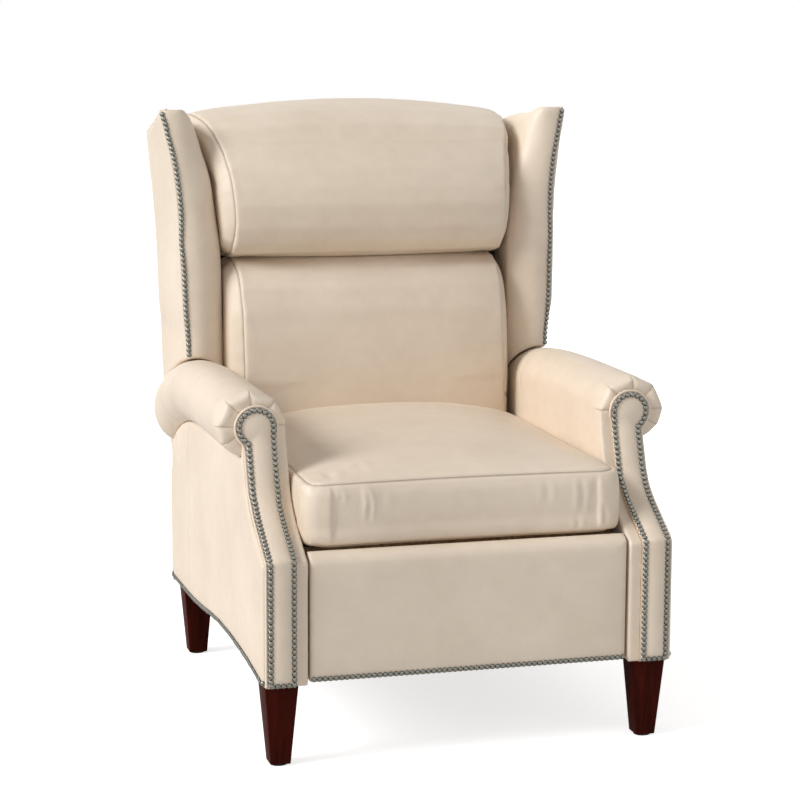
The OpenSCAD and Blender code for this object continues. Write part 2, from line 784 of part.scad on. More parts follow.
module seat_pivots() {
  seat_x = plane_x(1);
  color(steel) both() {
    for (p = [main_pivot, rear_pivot]) pin_inwards(p, seat_x + link_t, 2);
    for (p = swing_tops) pin_outwards(p + swing_foot, seat_x, 0);
    pin_outwards(drive_head, seat_x, 0);
  }
}

// Back

module back_posts() {
  color(wood) both() on_rake(outside_back_t, back_frame_t) translate([post_x0, up(frame_foot_z)])
    square([post_w, up(frame_top_z) - up(frame_foot_z)]);
}

module back_rails() {
  color(wood) on_rake(outside_back_t, back_frame_t)
    for (z = [frame_foot_z, mix(frame_foot_z, frame_top_z, mid_rail_share), frame_top_z - back_rail_h])
      translate([-post_x0, up(z)]) square([2 * post_x0, back_rail_h]);
}

// Outer posts that carry the wings, tied to the back posts by two short rails each.
module wing_post_solid(air = 0) {
  on_rake(outside_back_t - air, back_frame_t + 2 * air) {
    translate([wing_post_x0 - air, up(wing_post_z0) - air])
      square([wing_post_w + 2 * air, up(wing_post_z1) - up(wing_post_z0) + 2 * air]);
    for (z = [wing_post_z0 + board_margin, wing_post_z1 - back_rail_h])
      translate([post_x1, up(z) - air]) square([wing_post_x0 - post_x1, back_rail_h + 2 * air]);
  }
}

module wing_posts() {
  color(wood) both() wing_post_solid();
}

module back_springs() {
  foot = frame_foot_z + back_rail_h / 2;
  length = up(frame_top_z - back_rail_h / 2) - up(foot);
  color(steel) on_rake(frame_off, wire) for (i = [0:spring_count - 1])
    translate([(i - (spring_count - 1) / 2) * spring_pitch, up(foot)])
      rotate(90) sinuous(length, spring_turns, spring_w);
}

module inside_back() {
  w = post_x1 - deck_inset;
  color(cloth) on_rake(deck_off, inside_back_t) translate([-w, up(frame_foot_z)])
    square([2 * w, up(frame_top_z) - up(frame_foot_z)]);
}

// Half width of the back at a height: it flares with the wings near the top, and is
// as narrow as the arms below the rolls.
function back_half(z) = mix(arm_x1, back_side, ramp((z - leg_h - back_foot_lift) / (roll_z - leg_h - back_foot_lift)))
  + back_flare * pow(ramp(1 - (back_z - z) / flare_h), 1.6);

module outside_back() {
  n = 12;
  foot = leg_h + back_foot_lift;
  side = [for (i = [0:n]) let (z = mix(foot, back_z - back_shoulder, i / n)) [back_half(z), up(z)]];
  top = [for (i = [1:n - 1]) let (t = 1 - i / n)
    [back_half(back_z - back_shoulder) * t, up(back_z - back_shoulder * pow(t, 3))]];
  line = concat(side, top, [[0, up(back_z)]]);
  color(leather) on_rake(0, outside_back_t)
    polygon(concat(line, [for (p = back_to_front(line)) if (p.x > 0) [-p.x, p.y]]));
}

// Wing: its plan at a share of the height, and the heights of its foot and its top edge.
function wing_h(z) = (z - wing_z0) / (wing_z1 - wing_z0);
function late(h, from, power) = pow(ramp((h - from) / (1 - from)), power);
function wing_outer(h) = wing_out + wing_swell * h + wing_flare * late(h, 0.6, 1.6);
function wing_inner(h) = wing_in + wing_inner_swell * h + wing_lean * late(h, 0.5, 1.8);
function wing_inner_rear(h) = wing_in + wing_inner_swell * h + wing_rear_lean * late(h, 0.5, 1.8);
function wing_front_d(h) = wing_front + wing_sweep * mix(h, h * h, 0.8);
function wing_rear_x(h) = back_side + back_flare * late(h, 0.5, 1.6);
function wing_foot_z(x, d) = roll_mid(d) + (roll_rz(d) + wing_gap)
  * sqrt(max(0, 1 - pow((x - roll_x) / (roll_half_w + wing_gap), 2)));
function wing_top_z(x, d) = let (d0 = wing_front_d(1), d1 = back_d(wing_z1, outside_back_t),
  sy = ramp((d - d0) / (d1 - d0)), sx = ramp((wing_outer(1) - x) / (wing_outer(1) - wing_inner(1))))
  wing_z1 - wing_fall * pow(sy, 1.4)
  - wing_scoop * ramp((d - d0 - ear_d) / ear_d) * (1 - 0.35 * sy) * pow(1 - ramp(sx / 0.75), 1.3)
  - wing_inner_drop * (1 - 0.75 * sy) * pow(ramp((sx - 0.6) / 0.4), 1.5);
// Plan points also carry how far each leans with the back: 0 at the front, 1 at the rear.
function wing_plan(h) = let (z = mix(wing_z0, wing_z1, h), xo = wing_outer(h), xi = wing_inner(h),
  f = wing_front_d(h), r = back_d(z, outside_back_t))
  concat([for (i = [0:wing_side_n]) let (t = i / wing_side_n)
      [mix(xo, wing_rear_x(h), t), mix(f + wing_bulge / 2, r, t), t]],
    [[mix(wing_inner_rear(h), wing_rear_x(h), 0.5), r, 1]],
    [for (i = [0:wing_side_n]) let (t = i / wing_side_n)
      [mix(wing_inner_rear(h), xi, t), mix(r, f + wing_front_round, t), 1 - t]],
    [for (i = [1:wing_front_n - 1]) let (t = i / wing_front_n)
      [mix(xi, xo, t), mix(f + wing_front_round, f + wing_bulge / 2, t) - wing_bulge * pow(sin(180 * t), 0.7), 0]]);
function wing_ring(t) = [for (p = wing_plan(t))
  let (z = mix(wing_foot_z(p.x, p.y) - wing_sink, wing_top_z(p.x, p.y), t),
    lean = z - mix(wing_z0, wing_z1, t))
  [p.x, p.y + p.z * lean * tan(rake), z]];
function middle(ring) = [for (k = [0:2]) [for (p = ring) p[k]] * [for (p = ring) 1 / len(ring)]];

// Room for the roll under the wing: the roll's own section made larger by the gap, down to a low level.
function roll_room_ring(d) = let (w = roll_half_w + wing_gap, low = roll_z - roll_r - roll_droop)
  concat([for (i = [0:roll_arc]) let (a = 180 * (1 - i / roll_arc))
      [roll_x + w * cos(a), d, roll_mid(d) + (roll_rz(d) + wing_gap) * sin(a)]],
    [[roll_x + w, d, low], [roll_x - w, d, low]]);

module roll_room() {
  rear = arm_len + wing_gap;
  rings = concat([for (i = [0:roll_steps]) roll_room_ring(roll_station(i))], [roll_room_ring(rear)]);
  loft(rings, [roll_x, roll_station(0), roll_z], [roll_x, rear, roll_mid(arm_len)]);
}

// The wing runs down behind the arm to the foot of the back, and is hollow for its board and post.
module wing() {
  rings = [for (i = [0:wing_steps]) wing_ring(i / wing_steps)];
  off = outside_back_t + seat_gap;
  tail_d = arm_len + 2 * wing_gap;
  tail_z = wing_z0 + board_margin;
  color(leather) difference() {
    union() {
      loft(rings, middle(rings[0]), middle(rings[wing_steps]));
      slab(wing_in + wing_in_gap, arm_x1 - wing_in_gap) polygon([[tail_d, frame_foot_z],
        [back_d(frame_foot_z, off), frame_foot_z], [back_d(tail_z, off), tail_z], [tail_d, tail_z]]);
    }
    roll_room();
    wing_board_solid(cut);
    wing_post_solid(seat_gap);
  }
}

// Plywood board sealed inside the wing's padding; its rear edge is lengthened to cut its slot.
module wing_board_solid(extra = 0) {
  z0 = wing_z0 + board_margin;
  z1 = wing_z1 - 2 * board_margin;
  slab(wing_in + board_in, wing_in + board_in + board_t) polygon([
    [wing_front_d(0) + board_margin, z0], [back_d(z0, frame_off) + extra, z0],
    [back_d(z1, frame_off) + extra, z1], [wing_front_d(1) + board_margin, z1]]);
}

module wing_boards() {
  color(wood) both() wing_board_solid();
}

// A back cushion: its profile swept across the chair, swelling in the middle.
function profile_ring(shares, u, z0, h, reach, half, swell, top_swell) = [for (s = shares)
  let (front = ramp(s.x * 3), top = pow(ramp((s.y - 0.5) / 0.5), 2), k = sqrt(max(0, 1 - u * u)),
    z = z0 + h * s.y + top_swell * top * k, w = half[0] + half[1] * pow(ramp(s.y), 4))
  [u * w, back_d(z0 + h * s.y, deck_front_off) - reach * s.x - swell * front * k, z]];

module back_cushion(shares, z0, h, reach, half, swell, top_swell) {
  stations = [-1, -0.985, -0.94, -0.86, -0.7, -0.45, -0.15];
  across = concat(stations, [for (i = [len(stations) - 1:-1:0]) -stations[i]]);
  rings = [for (u = across) profile_ring(shares, -u, z0, h, reach, half, swell, top_swell)];
  n = len(across) - 1;
  color(leather) loft(rings, middle(rings[0]) + [end_puff, 0, 0], middle(rings[n]) - [end_puff, 0, 0]);
}

module head_cushion() {
  back_cushion(head_shares, head_z0, head_h, head_cushion_d, head_half, back_crown, head_top_crown);
}

module lumbar_cushion() {
  back_cushion(lumbar_shares, lumbar_z0, lumbar_h, lumbar_cushion_d, lumbar_half, back_crown, 0);
}

function post_point(lift) = [back_d(leg_h + lift, outside_back_t + back_frame_t / 2), leg_h + lift];

module back_brackets() {
  color(steel) both() in_plane(1) drilled([drive_foot], pin_r) drilled([recline_pivot], pin_r + bore_clear)
    bar([drive_foot, recline_pivot, post_point(bracket_low_lift), post_point(bracket_high_lift)], plate_w);
}

module back_pivots() {
  color(steel) both() pin_outwards(drive_foot, plane_x(1), 0);
}

module drive_links() {
  color(steel) both() in_plane(0)
    drilled([drive_foot], pin_r + bore_clear) drilled([drive_head], pin_r + drive_clear)
    bar([drive_foot, drive_head], drive_w);
}

// Legrest linkage

module legrest_main_links() {
  color(steel) both() in_plane(2) drilled([main_foot, rod_foot], pin_r)
    drilled([main_pivot], pin_r + bore_clear) bar([main_pivot, main_foot], link_w);
}

module legrest_torsion_tube() {
  color(steel) slab(-plane_x(2), plane_x(2)) translate(tube_centre) difference() {
    circle(r = tube_r, $fn = arc_n);
    circle(r = tube_r - tube_wall, $fn = arc_n);
  }
}

module main_link_pins() {
  from = plane_x(2) + link_t;
  color(steel) both() {
    pin_inwards(main_foot, from, 3);
    pin_inwards(rod_foot, from, 4);
  }
}

module legrest_rear_links() {
  color(steel) both() in_plane(2) drilled([rear_foot], pin_r + open_clear)
    drilled([rear_pivot], pin_r + bore_clear) bar([rear_pivot, rear_foot], link_w);
}

module legrest_couplers() {
  color(steel) both() in_plane(3) drilled([rear_foot, bracket_pivot], pin_r)
    drilled([main_foot], pin_r + bore_clear) bar([rear_foot, main_foot, bracket_pivot], bar_w);
}

module coupler_pins() {
  color(steel) both() {
    pin_outwards(rear_foot, plane_x(3), 2);
    pin_outwards(bracket_pivot, plane_x(3), 2);
  }
}

module legrest_rods() {
  color(steel) both() in_plane(4) drilled([rod_foot], pin_r + bore_clear)
    drilled([rod_head], pin_r + open_clear) bar([rod_foot, rod_head], bar_w);
}

module legrest_brackets() {
  back = pad_front + pad_t + legrest_board_t;
  color(steel) both() {
    in_plane(2) drilled([rod_head], pin_r) drilled([bracket_pivot], pin_r + bore_clear) union() {
      bar([bracket_pivot, rod_head], link_w);
      polygon([[back, bracket_z0], bracket_pivot, rod_head, [back, rod_head.y]]);
    }
    translate([plane_x(2) + link_t - bracket_flange_w, back, bracket_z0])
      cube([bracket_flange_w, bracket_flange_t, bracket_z1 - bracket_z0]);
  }
}

module bracket_pins() {
  color(steel) both() pin_inwards(rod_head, plane_x(2) + link_t, 4);
}

module legrest_board() {
  color(wood) translate([-plane_x(2) - link_t, pad_front + pad_t, legrest_board_z0])
    cube([2 * (plane_x(2) + link_t), legrest_board_t, legrest_board_z1 - legrest_board_z0]);
}

// Padded cover of the legrest, rounded over its top edge.
module legrest_pad() {
  rear = pad_front + pad_t;
  color(leather) slab(-pad_w / 2, pad_w / 2) polygon(concat(
    [[pad_front, pad_z0], [rear, pad_z0], [rear, pad_z1]],
    [for (i = [0:8]) let (a = 90 + 90 * i / 8)
      [pad_front + pad_round + pad_round * cos(a), pad_z1 - pad_round + pad_round * sin(a)]]));
}

placed() left() leg(leg_d[0]);  // leg_front_left
placed() leg(leg_d[0]);  // leg_front_right
placed() left() leg(leg_d[1]);  // leg_rear_left
placed() leg(leg_d[1]);  // leg_rear_right
placed() leg_glides();
placed() hanger_bolts();
placed() corner_blocks();
placed() front_rail();
placed() rear_rail();
placed() rear_panel();
placed() arm_front_posts();
placed() arm_rear_posts();
placed() arm_bottom_rails();
placed() arm_top_rails();
placed() left() inside_arm();  // inside_arm_left
placed() inside_arm();  // inside_arm_right
placed() left() outside_arm();  // outside_arm_left
placed() outside_arm();  // outside_arm_right
placed() left() arm_roll();  // arm_roll_left
placed() arm_roll();  // arm_roll_right
placed() left() arm_front_panel();  // arm_front_panel_left
placed() arm_front_panel();  // arm_front_panel_right
placed() mechanism_rails();
placed() base_pivots();
placed() swing_links(swing_tops[0]);  // front_swing_links
placed() swing_links(swing_tops[1]);  // rear_swing_links
placed() seat_side_rails();
placed() seat_cross_rails();
placed() seat_springs();
placed() seat_deck();
placed() seat_cushion();
placed() seat_side_plates();
placed() seat_pivots();
placed() back_posts();
placed() back_rails();
placed() wing_posts();
placed() wing_boards();
placed() left() wing();  // wing_left
placed() wing();  // wing_right
placed() back_springs();
placed() inside_back();
placed() outside_back();
placed() lumbar_cushion();
placed() head_cushion();
placed() back_brackets();
placed() back_pivots();
placed() drive_links();
placed() legrest_main_links();
placed() legrest_torsion_tube();
placed() main_link_pins();
placed() legrest_rear_links();
placed() legrest_couplers();
placed() coupler_pins();
placed() legrest_rods();
placed() legrest_brackets();
placed() bracket_pins();
placed() legrest_board();
placed() legrest_pad();
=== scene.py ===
# %% [markdown]
# # A push-back wing recliner in cream leather
#
# The chair is built like the real one: a hidden hardwood frame and a steel linkage, then padded leather
# covers, loose cushions, self welts and rows of nails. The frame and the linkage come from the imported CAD
# model, which also says where every cover has to lie. This file upholsters it.
#
# Order of work: camera and light, the finishes, the tools of the trade (skins, seams, folds, cushions), and
# then the chair from the seat outwards, with its nails, welts and legs last. Lengths in the tables are in
# millimetres, and Blender's own points are in metres.

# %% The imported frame
import json
import math
import bpy
import numpy as np
from mathutils import Matrix, Vector
from mathutils.bvhtree import BVHTree


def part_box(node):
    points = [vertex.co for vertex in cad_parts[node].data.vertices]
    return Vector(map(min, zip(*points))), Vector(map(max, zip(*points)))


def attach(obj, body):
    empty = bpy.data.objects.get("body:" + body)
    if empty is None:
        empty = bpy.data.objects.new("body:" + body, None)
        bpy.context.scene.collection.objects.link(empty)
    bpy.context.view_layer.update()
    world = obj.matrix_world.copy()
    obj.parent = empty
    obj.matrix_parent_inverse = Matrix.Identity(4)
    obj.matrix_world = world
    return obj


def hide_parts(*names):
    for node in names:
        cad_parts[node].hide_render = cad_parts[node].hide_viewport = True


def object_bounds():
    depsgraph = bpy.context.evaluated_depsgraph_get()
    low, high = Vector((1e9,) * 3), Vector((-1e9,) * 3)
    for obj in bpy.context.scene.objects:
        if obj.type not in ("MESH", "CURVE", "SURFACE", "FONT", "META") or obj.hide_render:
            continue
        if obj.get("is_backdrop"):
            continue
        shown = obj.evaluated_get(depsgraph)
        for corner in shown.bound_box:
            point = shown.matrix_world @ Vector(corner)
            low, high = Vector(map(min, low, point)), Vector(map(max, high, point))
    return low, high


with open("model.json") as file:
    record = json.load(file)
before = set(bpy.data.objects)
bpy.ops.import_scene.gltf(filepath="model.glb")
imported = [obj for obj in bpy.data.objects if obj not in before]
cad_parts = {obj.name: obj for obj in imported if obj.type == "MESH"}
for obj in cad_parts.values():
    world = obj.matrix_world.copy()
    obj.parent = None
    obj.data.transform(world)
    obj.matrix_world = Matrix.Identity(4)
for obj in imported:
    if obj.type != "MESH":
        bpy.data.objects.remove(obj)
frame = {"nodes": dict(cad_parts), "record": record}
cad_low, cad_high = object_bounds()
SIDES = {"left": -1, "right": 1}


def at(x, depth, z):
    """A point in millimetres: across the chair, back from the arm fronts, and up from the floor."""
    return Vector((x / 1000, cad_low.y + depth / 1000, z / 1000))


print("chair measures", [round(v * 1000) for v in cad_high - cad_low], "mm")

# %% [markdown]
# ## Camera
#
# The photo was taken from the chair's right-hand front corner, a little above seat height, with a long lens.
# A camera could be nudged until the picture looks right, but every piece would then inherit the error. So
# its place, turn and lens were solved from straight edges and from matching points on the two sides, and
# they are simply stated here. A small lens shift puts the middle of the picture where the photo has it.

# %% Camera at the photo's angle
TURN, DOWN, TILT = (math.radians(v) for v in (15.7346, 9.496, 0.2598))
ahead = Vector((math.sin(TURN) * math.cos(DOWN), math.cos(TURN) * math.cos(DOWN), -math.sin(DOWN)))
level_right = ahead.cross(Vector((0, 0, 1))).normalized()
level_up = level_right.cross(ahead)
right = math.cos(TILT) * level_right + math.sin(TILT) * level_up
up = math.cos(TILT) * level_up - math.sin(TILT) * level_right
turned = Matrix((right, up, -ahead)).transposed().to_4x4()
bpy.ops.object.camera_add()
camera = bpy.context.object
camera.name = "studio_camera"
camera.matrix_world = Matrix.Translation(at(-1245.2, -3921.5, 1338.3)) @ turned
camera.data.sensor_width = 36
camera.data.lens = 106.595
camera.data.shift_x = 0.00185
camera.data.clip_end = 60
bpy.context.scene.camera = camera
print("camera stands", round(camera.location.length, 2), "m away")

# %% [markdown]
# ## Wiring a finish
#
# A finish in Blender is a small machine of nodes. Wiring each by hand would hide what matters, so a few
# helpers add one node each: arithmetic, noise, a colour ramp, a bump and the surface shader itself.


# %% Node helpers
def add(tree, kind, inputs=None, **settings):
    """Adds a node, sets its options, and fills its inputs with values or with other nodes' outputs."""
    made = tree.nodes.new(kind)
    for key, value in settings.items():
        setattr(made, key, value)
    for key, value in (inputs or {}).items():
        if isinstance(value, bpy.types.NodeSocket):
            tree.links.new(value, made.inputs[key])
        else:
            made.inputs[key].default_value = value
    return made


def calc(tree, operation, a, b=0.0, c=0.0, clamp=False):
    """One step of arithmetic on node values."""
    return add(tree, "ShaderNodeMath", {0: a, 1: b, 2: c}, operation=operation, use_clamp=clamp).outputs[0]


def spread(tree, noise_value, amount, base, clamp=True):
    """Widens a noise value about its middle and adds it to a base value."""
    return calc(tree, "MULTIPLY_ADD", calc(tree, "SUBTRACT", noise_value, 0.5), amount, base, clamp)


def noise(tree, place, scale, detail, **more):
    """Cloudy noise at one scale."""
    return add(tree, "ShaderNodeTexNoise", {"Vector": place, "Scale": scale, "Detail": detail, **more}).outputs[0]


def attribute(tree, name):
    """A value that the mesh carries at its vertices."""
    return add(tree, "ShaderNodeAttribute", attribute_name=name).outputs["Fac"]


def ramp(tree, value, low, high, middle=None):
    """A colour ramp: each stop is its place and its colour."""
    made = add(tree, "ShaderNodeValToRGB", {"Fac": value})
    for stop, (place, colour) in zip(made.color_ramp.elements, (low, high)):
        stop.position, stop.color = place, (*colour, 1)
    if middle:
        made.color_ramp.elements.new(middle[0]).color = (*middle[1], 1)
    return made.outputs[0]


def bump(tree, height, strength, distance, **under):
    """Raises a height value as relief, on top of another bump if one is given as Normal."""
    inputs = {"Height": height, "Strength": strength, "Distance": distance, **under}
    return add(tree, "ShaderNodeBump", inputs).outputs[0]


def empty_material(name):
    """A new node material, its node tree and the piece's own coordinates."""
    made = bpy.data.materials.new(name)
    made.use_nodes = True
    made.node_tree.nodes.clear()
    return made, made.node_tree, add(made.node_tree, "ShaderNodeTexCoord").outputs["Object"]


def surface_shader(tree, colour, roughness, normal, **more):
    """The surface itself, wired to the material's output."""
    body = add(tree, "ShaderNodeBsdfPrincipled",
               {"Base Color": colour, "Roughness": roughness, "Normal": normal, **more})
    tree.links.new(body.outputs[0], add(tree, "ShaderNodeOutputMaterial").inputs["Surface"])


print("node helpers ready")

# %% [markdown]
# ## Floor and light
#
# A furniture photo is lit by large soft lamps: a strong one at the viewer's left, a weak one near the camera
# and white walls all round. Two wide suns and a white world do the same. The world and the floor are white to
# the camera whatever light they give, so the lamps never have to be turned up for the background.

# %% White walls
WALL_LIGHT = 0.42
world = bpy.data.worlds.new("white_studio")
bpy.context.scene.world = world
world.use_nodes = True
tree = world.node_tree
tree.nodes.clear()
ray = add(tree, "ShaderNodeLightPath").outputs
seen = calc(tree, "ADD", ray["Is Camera Ray"], ray["Is Transmission Ray"], clamp=True)
seen = calc(tree, "ADD", seen, ray["Is Glossy Ray"], clamp=True)
strength = calc(tree, "MULTIPLY_ADD", seen, 1 - WALL_LIGHT, WALL_LIGHT)
sky = add(tree, "ShaderNodeBackground", {"Color": (1, 1, 1, 1), "Strength": strength})
tree.links.new(sky.outputs[0], add(tree, "ShaderNodeOutputWorld").inputs["Surface"])
print("walls light the chair at", WALL_LIGHT)

# %% White floor
floor_white = bpy.data.materials.new("studio_floor")
floor_white.use_nodes = True
tree = floor_white.node_tree
tree.nodes.clear()
ray = add(tree, "ShaderNodeLightPath").outputs
paper = add(tree, "ShaderNodeBsdfDiffuse", {"Color": (0.8, 0.8, 0.8, 1)})
to_camera = calc(tree, "MULTIPLY", ray["Is Camera Ray"], 0.7)
glow = add(tree, "ShaderNodeEmission", {"Color": (1, 1, 1, 1), "Strength": to_camera})
both = add(tree, "ShaderNodeAddShader", {0: paper.outputs[0], 1: glow.outputs[0]})
tree.links.new(both.outputs[0], add(tree, "ShaderNodeOutputMaterial").inputs["Surface"])
bpy.ops.object.select_all(action="DESELECT")
bpy.ops.mesh.primitive_plane_add(size=40, location=(0, 0, 0))
studio_floor = bpy.context.object
studio_floor.name = "studio_floor"
studio_floor.data.materials.append(floor_white)
studio_floor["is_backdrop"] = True
print("floor is", studio_floor.dimensions.x, "m wide")


# %% Lamps
def soft_sun(name, towards, power, width):
    """A distant lamp as wide as a big soft box. towards points from the chair to the lamp."""
    bpy.ops.object.light_add(type="SUN", location=Vector(towards) * 5)
    lamp = bpy.context.object
    lamp.name = name
    lamp.rotation_euler = Vector(towards).to_track_quat("Z", "Y").to_euler()
    lamp.data.energy = power
    lamp.data.angle = math.radians(width)


soft_sun("key_lamp", (-0.83, -0.14, 0.54), power=2.5, width=28)
soft_sun("fill_lamp", (0.3, -0.9, 0.45), power=0.16, width=50)
bpy.context.scene.view_settings.view_transform = "Standard"

# %% [markdown]
# ## Leather
#
# Upholstery leather is dyed evenly but drinks the dye unevenly, so its cream colour drifts in soft clouds and
# carries faint darker streaks. Its surface is a fine pebble grain with a satin finish over slow waves where
# the hide is pulled over foam. Noise at three scales gives the clouds, Voronoi cells give the pebbles.
#
# A seam is thinner than any mesh that a cushion can afford. So every leather piece carries two values at its
# vertices: how far each point lies from the nearest seam, with a sign that changes across it, and how deep
# the seam is there. The material turns the place where the first passes through zero into a fine groove,
# and darkens it with painted shade.


# %% A seam's profile
def seam_profile(tree, width):
    """One where the seam runs, falling off on both sides like a bell, width in millimetres."""
    across = calc(tree, "MULTIPLY", attribute(tree, "seam"), 1000.0)
    square = calc(tree, "POWER", calc(tree, "DIVIDE", across, width), 2.0)
    bell = calc(tree, "EXPONENT", calc(tree, "MULTIPLY", square, -1.0))
    return calc(tree, "MULTIPLY", bell, attribute(tree, "seam_depth"))


GROOVE_WIDTH, ROLL_WIDTH = 1.1, 3.6
print("a seam is a", GROOVE_WIDTH, "mm groove in a", ROLL_WIDTH, "mm roll")


# %% Leather material
def leather_finish(name):
    """Cream hide: clouded dye, pebble grain, slow waves, and painted shade in the seams."""
    made, tree, place = empty_material(name)
    clouds = noise(tree, place, 5.5, 3.0, Roughness=0.55)
    blotch = noise(tree, place, 38.0, 5.0, Roughness=0.6)
    fibre = noise(tree, place, 260.0, 4.0, Roughness=0.65)
    pebble = add(tree, "ShaderNodeTexVoronoi",
                 {"Vector": place, "Scale": 620.0, "Randomness": 1.0}).outputs["Distance"]
    groove, roll = seam_profile(tree, GROOVE_WIDTH), seam_profile(tree, ROLL_WIDTH)
    tone = spread(tree, clouds, 1.1, 0.5, clamp=False)
    tone = spread(tree, blotch, 0.55, tone)
    dye = ramp(tree, tone, (0.15, (0.715, 0.597, 0.473)), (0.85, (0.830, 0.708, 0.575)))
    # Painted shade: the seam's groove darkens the dye towards brown, as the shade in a sewn crease would.
    painted_seam_shade = calc(tree, "MULTIPLY", groove, 0.34)
    colour = add(tree, "ShaderNodeMix", {6: dye, 7: (0.27, 0.19, 0.13, 1), 0: painted_seam_shade}, data_type="RGBA").outputs[2]
    satin = calc(tree, "MULTIPLY_ADD", fibre, 0.16, 0.36)
    satin = calc(tree, "MULTIPLY_ADD", blotch, 0.08, satin)
    grain = calc(tree, "MULTIPLY_ADD", fibre, 0.8, calc(tree, "MULTIPLY", pebble, 0.6))
    fine = bump(tree, grain, 0.22, 0.0004)
    slow = bump(tree, blotch, 0.25, 0.002, Normal=fine)
    sewn = calc(tree, "MULTIPLY_ADD", roll, -0.7, calc(tree, "MULTIPLY", groove, -1.0))
    surface_shader(tree, colour, satin, bump(tree, sewn, 0.9, 0.0016, Normal=slow))
    return made


cream_leather = leather_finish("cream_leather")
print("leather has", len(cream_leather.node_tree.nodes), "nodes")

# %% [markdown]
# ## Nail metal
#
# The nails are antiqued pewter: bright on the dome, nearly black where the patina stays round the rim. The
# dark rim is also painted shade where the dome meets the leather, and the bright crown a painted highlight,
# because a reflection alone can't show them on a nail of a few pixels. Each nail therefore carries its own
# height as a value, and a ramp over that height lays the patina with this painted shade and highlight, with a
# little noise so that no two nails match.


# %% Pewter
def pewter_finish(name):
    """Dark patina round the rim of a dome, rubbed bright on its crown; the dark rim is also painted shade and the
    bright crown a painted highlight.
    """
    made, tree, place = empty_material(name)
    stain = noise(tree, place, 420.0, 4.0)
    level = spread(tree, stain, 0.7, attribute(tree, "rise"))
    # Patina plus painted light: near black at the rim (painted shade where the dome meets the leather), bright on
    # the crown (painted highlight).
    patina_shade_and_highlight = ramp(tree, level, (0.14, (0.010, 0.010, 0.008)), (0.98, (0.30, 0.30, 0.265)),
                  middle=(0.45, (0.105, 0.106, 0.090)))
    rough = calc(tree, "MULTIPLY_ADD", level, -0.22, 0.55)
    surface_shader(tree, patina_shade_and_highlight, rough, bump(tree, stain, 0.25, 0.0005), Metallic=1.0)
    return made


nail_pewter = pewter_finish("antique_pewter")
print("pewter has", len(nail_pewter.node_tree.nodes), "nodes")

# %% [markdown]
# ## Wood
#
# The legs are mahogany under a dark red stain and a gloss coat, the hidden frame is raw hardwood. Grain runs
# along a board, so one noise is squeezed across it and left long along it, with finer pores in the same way.


# %% Mahogany and raw hardwood
def wood_finish(name, dark, light, along, roughness, shine, pores):
    """Grain drawn out along one axis: noise squeezed across it, with darker pores."""
    made, tree, place = empty_material(name)
    stretch = [16.0, 16.0, 16.0]
    stretch["xyz".index(along)] = 1.3
    board = add(tree, "ShaderNodeMapping", {"Vector": place, "Scale": stretch}).outputs[0]
    figure = noise(tree, board, 4.0, 6.0, Distortion=0.9)
    pore = noise(tree, board, 26.0, 4.0, Roughness=0.7)
    stain = ramp(tree, spread(tree, pore, pores, figure), (0.32, dark), (0.68, light))
    rough = calc(tree, "MULTIPLY_ADD", pore, 0.15, roughness)
    surface_shader(tree, stain, rough, bump(tree, pore, 0.2, 0.0006), **{"Specular IOR Level": shine})
    return made


dark_mahogany = wood_finish("dark_mahogany", (0.024, 0.0022, 0.0006), (0.060, 0.0058, 0.0020), "z",
                            roughness=0.42, shine=0.05, pores=0.5)
raw_hardwood = wood_finish("raw_hardwood", (0.40, 0.25, 0.12), (0.66, 0.47, 0.27), "y",
                           roughness=0.55, shine=0.3, pores=0.4)
print("woods:", dark_mahogany.name, "and", raw_hardwood.name)

# %% [markdown]
# ## Steel
#
# The linkage is strip steel, brushed along its length as it left the rolls, and the springs are dull hardened
# wire. Both are the same metal with a different tint: fine lines from a stretched noise over patches of scale.


# %% Strip steel and spring wire
def steel_finish(name, base, roughness, brushed):
    """Strip steel brushed along its length, with a little darker mill scale."""
    made, tree, place = empty_material(name)
    lines = add(tree, "ShaderNodeMapping", {"Vector": place, "Scale": (900.0, 30.0, 900.0)}).outputs[0]
    brush = noise(tree, lines, 1.0, 2.0)
    scale = noise(tree, place, 55.0, 5.0)
    # The darker tint is brushing and mill scale on the steel itself, not shade.
    darker_tint = [v * 0.62 for v in base]
    tint = ramp(tree, spread(tree, brush, brushed, scale), (0.25, darker_tint), (0.75, base))
    rough = calc(tree, "MULTIPLY_ADD", brush, 0.2, roughness)
    surface_shader(tree, tint, rough, bump(tree, brush, 0.15, 0.0002), Metallic=1.0)
    return made


strip_steel = steel_finish("brushed_strip_steel", (0.45, 0.46, 0.48), roughness=0.34, brushed=0.8)
spring_wire = steel_finish("hardened_spring_wire", (0.22, 0.22, 0.23), roughness=0.45, brushed=0.3)
print("steels:", strip_steel.name, "and", spring_wire.name)

# %% [markdown]
# ## Deck cloth and nylon
#
# The deck under the seat is a black woven cloth, and the glides under the legs are black nylon. Two sets of
# waves that cross make a plain weave without a picture of one, and a speckle is all that nylon needs.


# %% Black cloth and nylon
def cloth_finish(name):
    """A plain weave: two sets of threads that cross, black, with a dull rub along their crowns."""
    made, tree, place = empty_material(name)
    threads = {"Vector": place, "Scale": 150.0, "Distortion": 0.4}
    warp = add(tree, "ShaderNodeTexWave", threads, bands_direction="X").outputs[1]
    weft = add(tree, "ShaderNodeTexWave", threads, bands_direction="DIAGONAL").outputs[1]
    weave = calc(tree, "MULTIPLY", warp, weft)
    dye = ramp(tree, weave, (0.0, (0.012, 0.012, 0.011)), (1.0, (0.075, 0.073, 0.068)))
    surface_shader(tree, dye, 0.92, bump(tree, weave, 0.6, 0.0005))
    return made


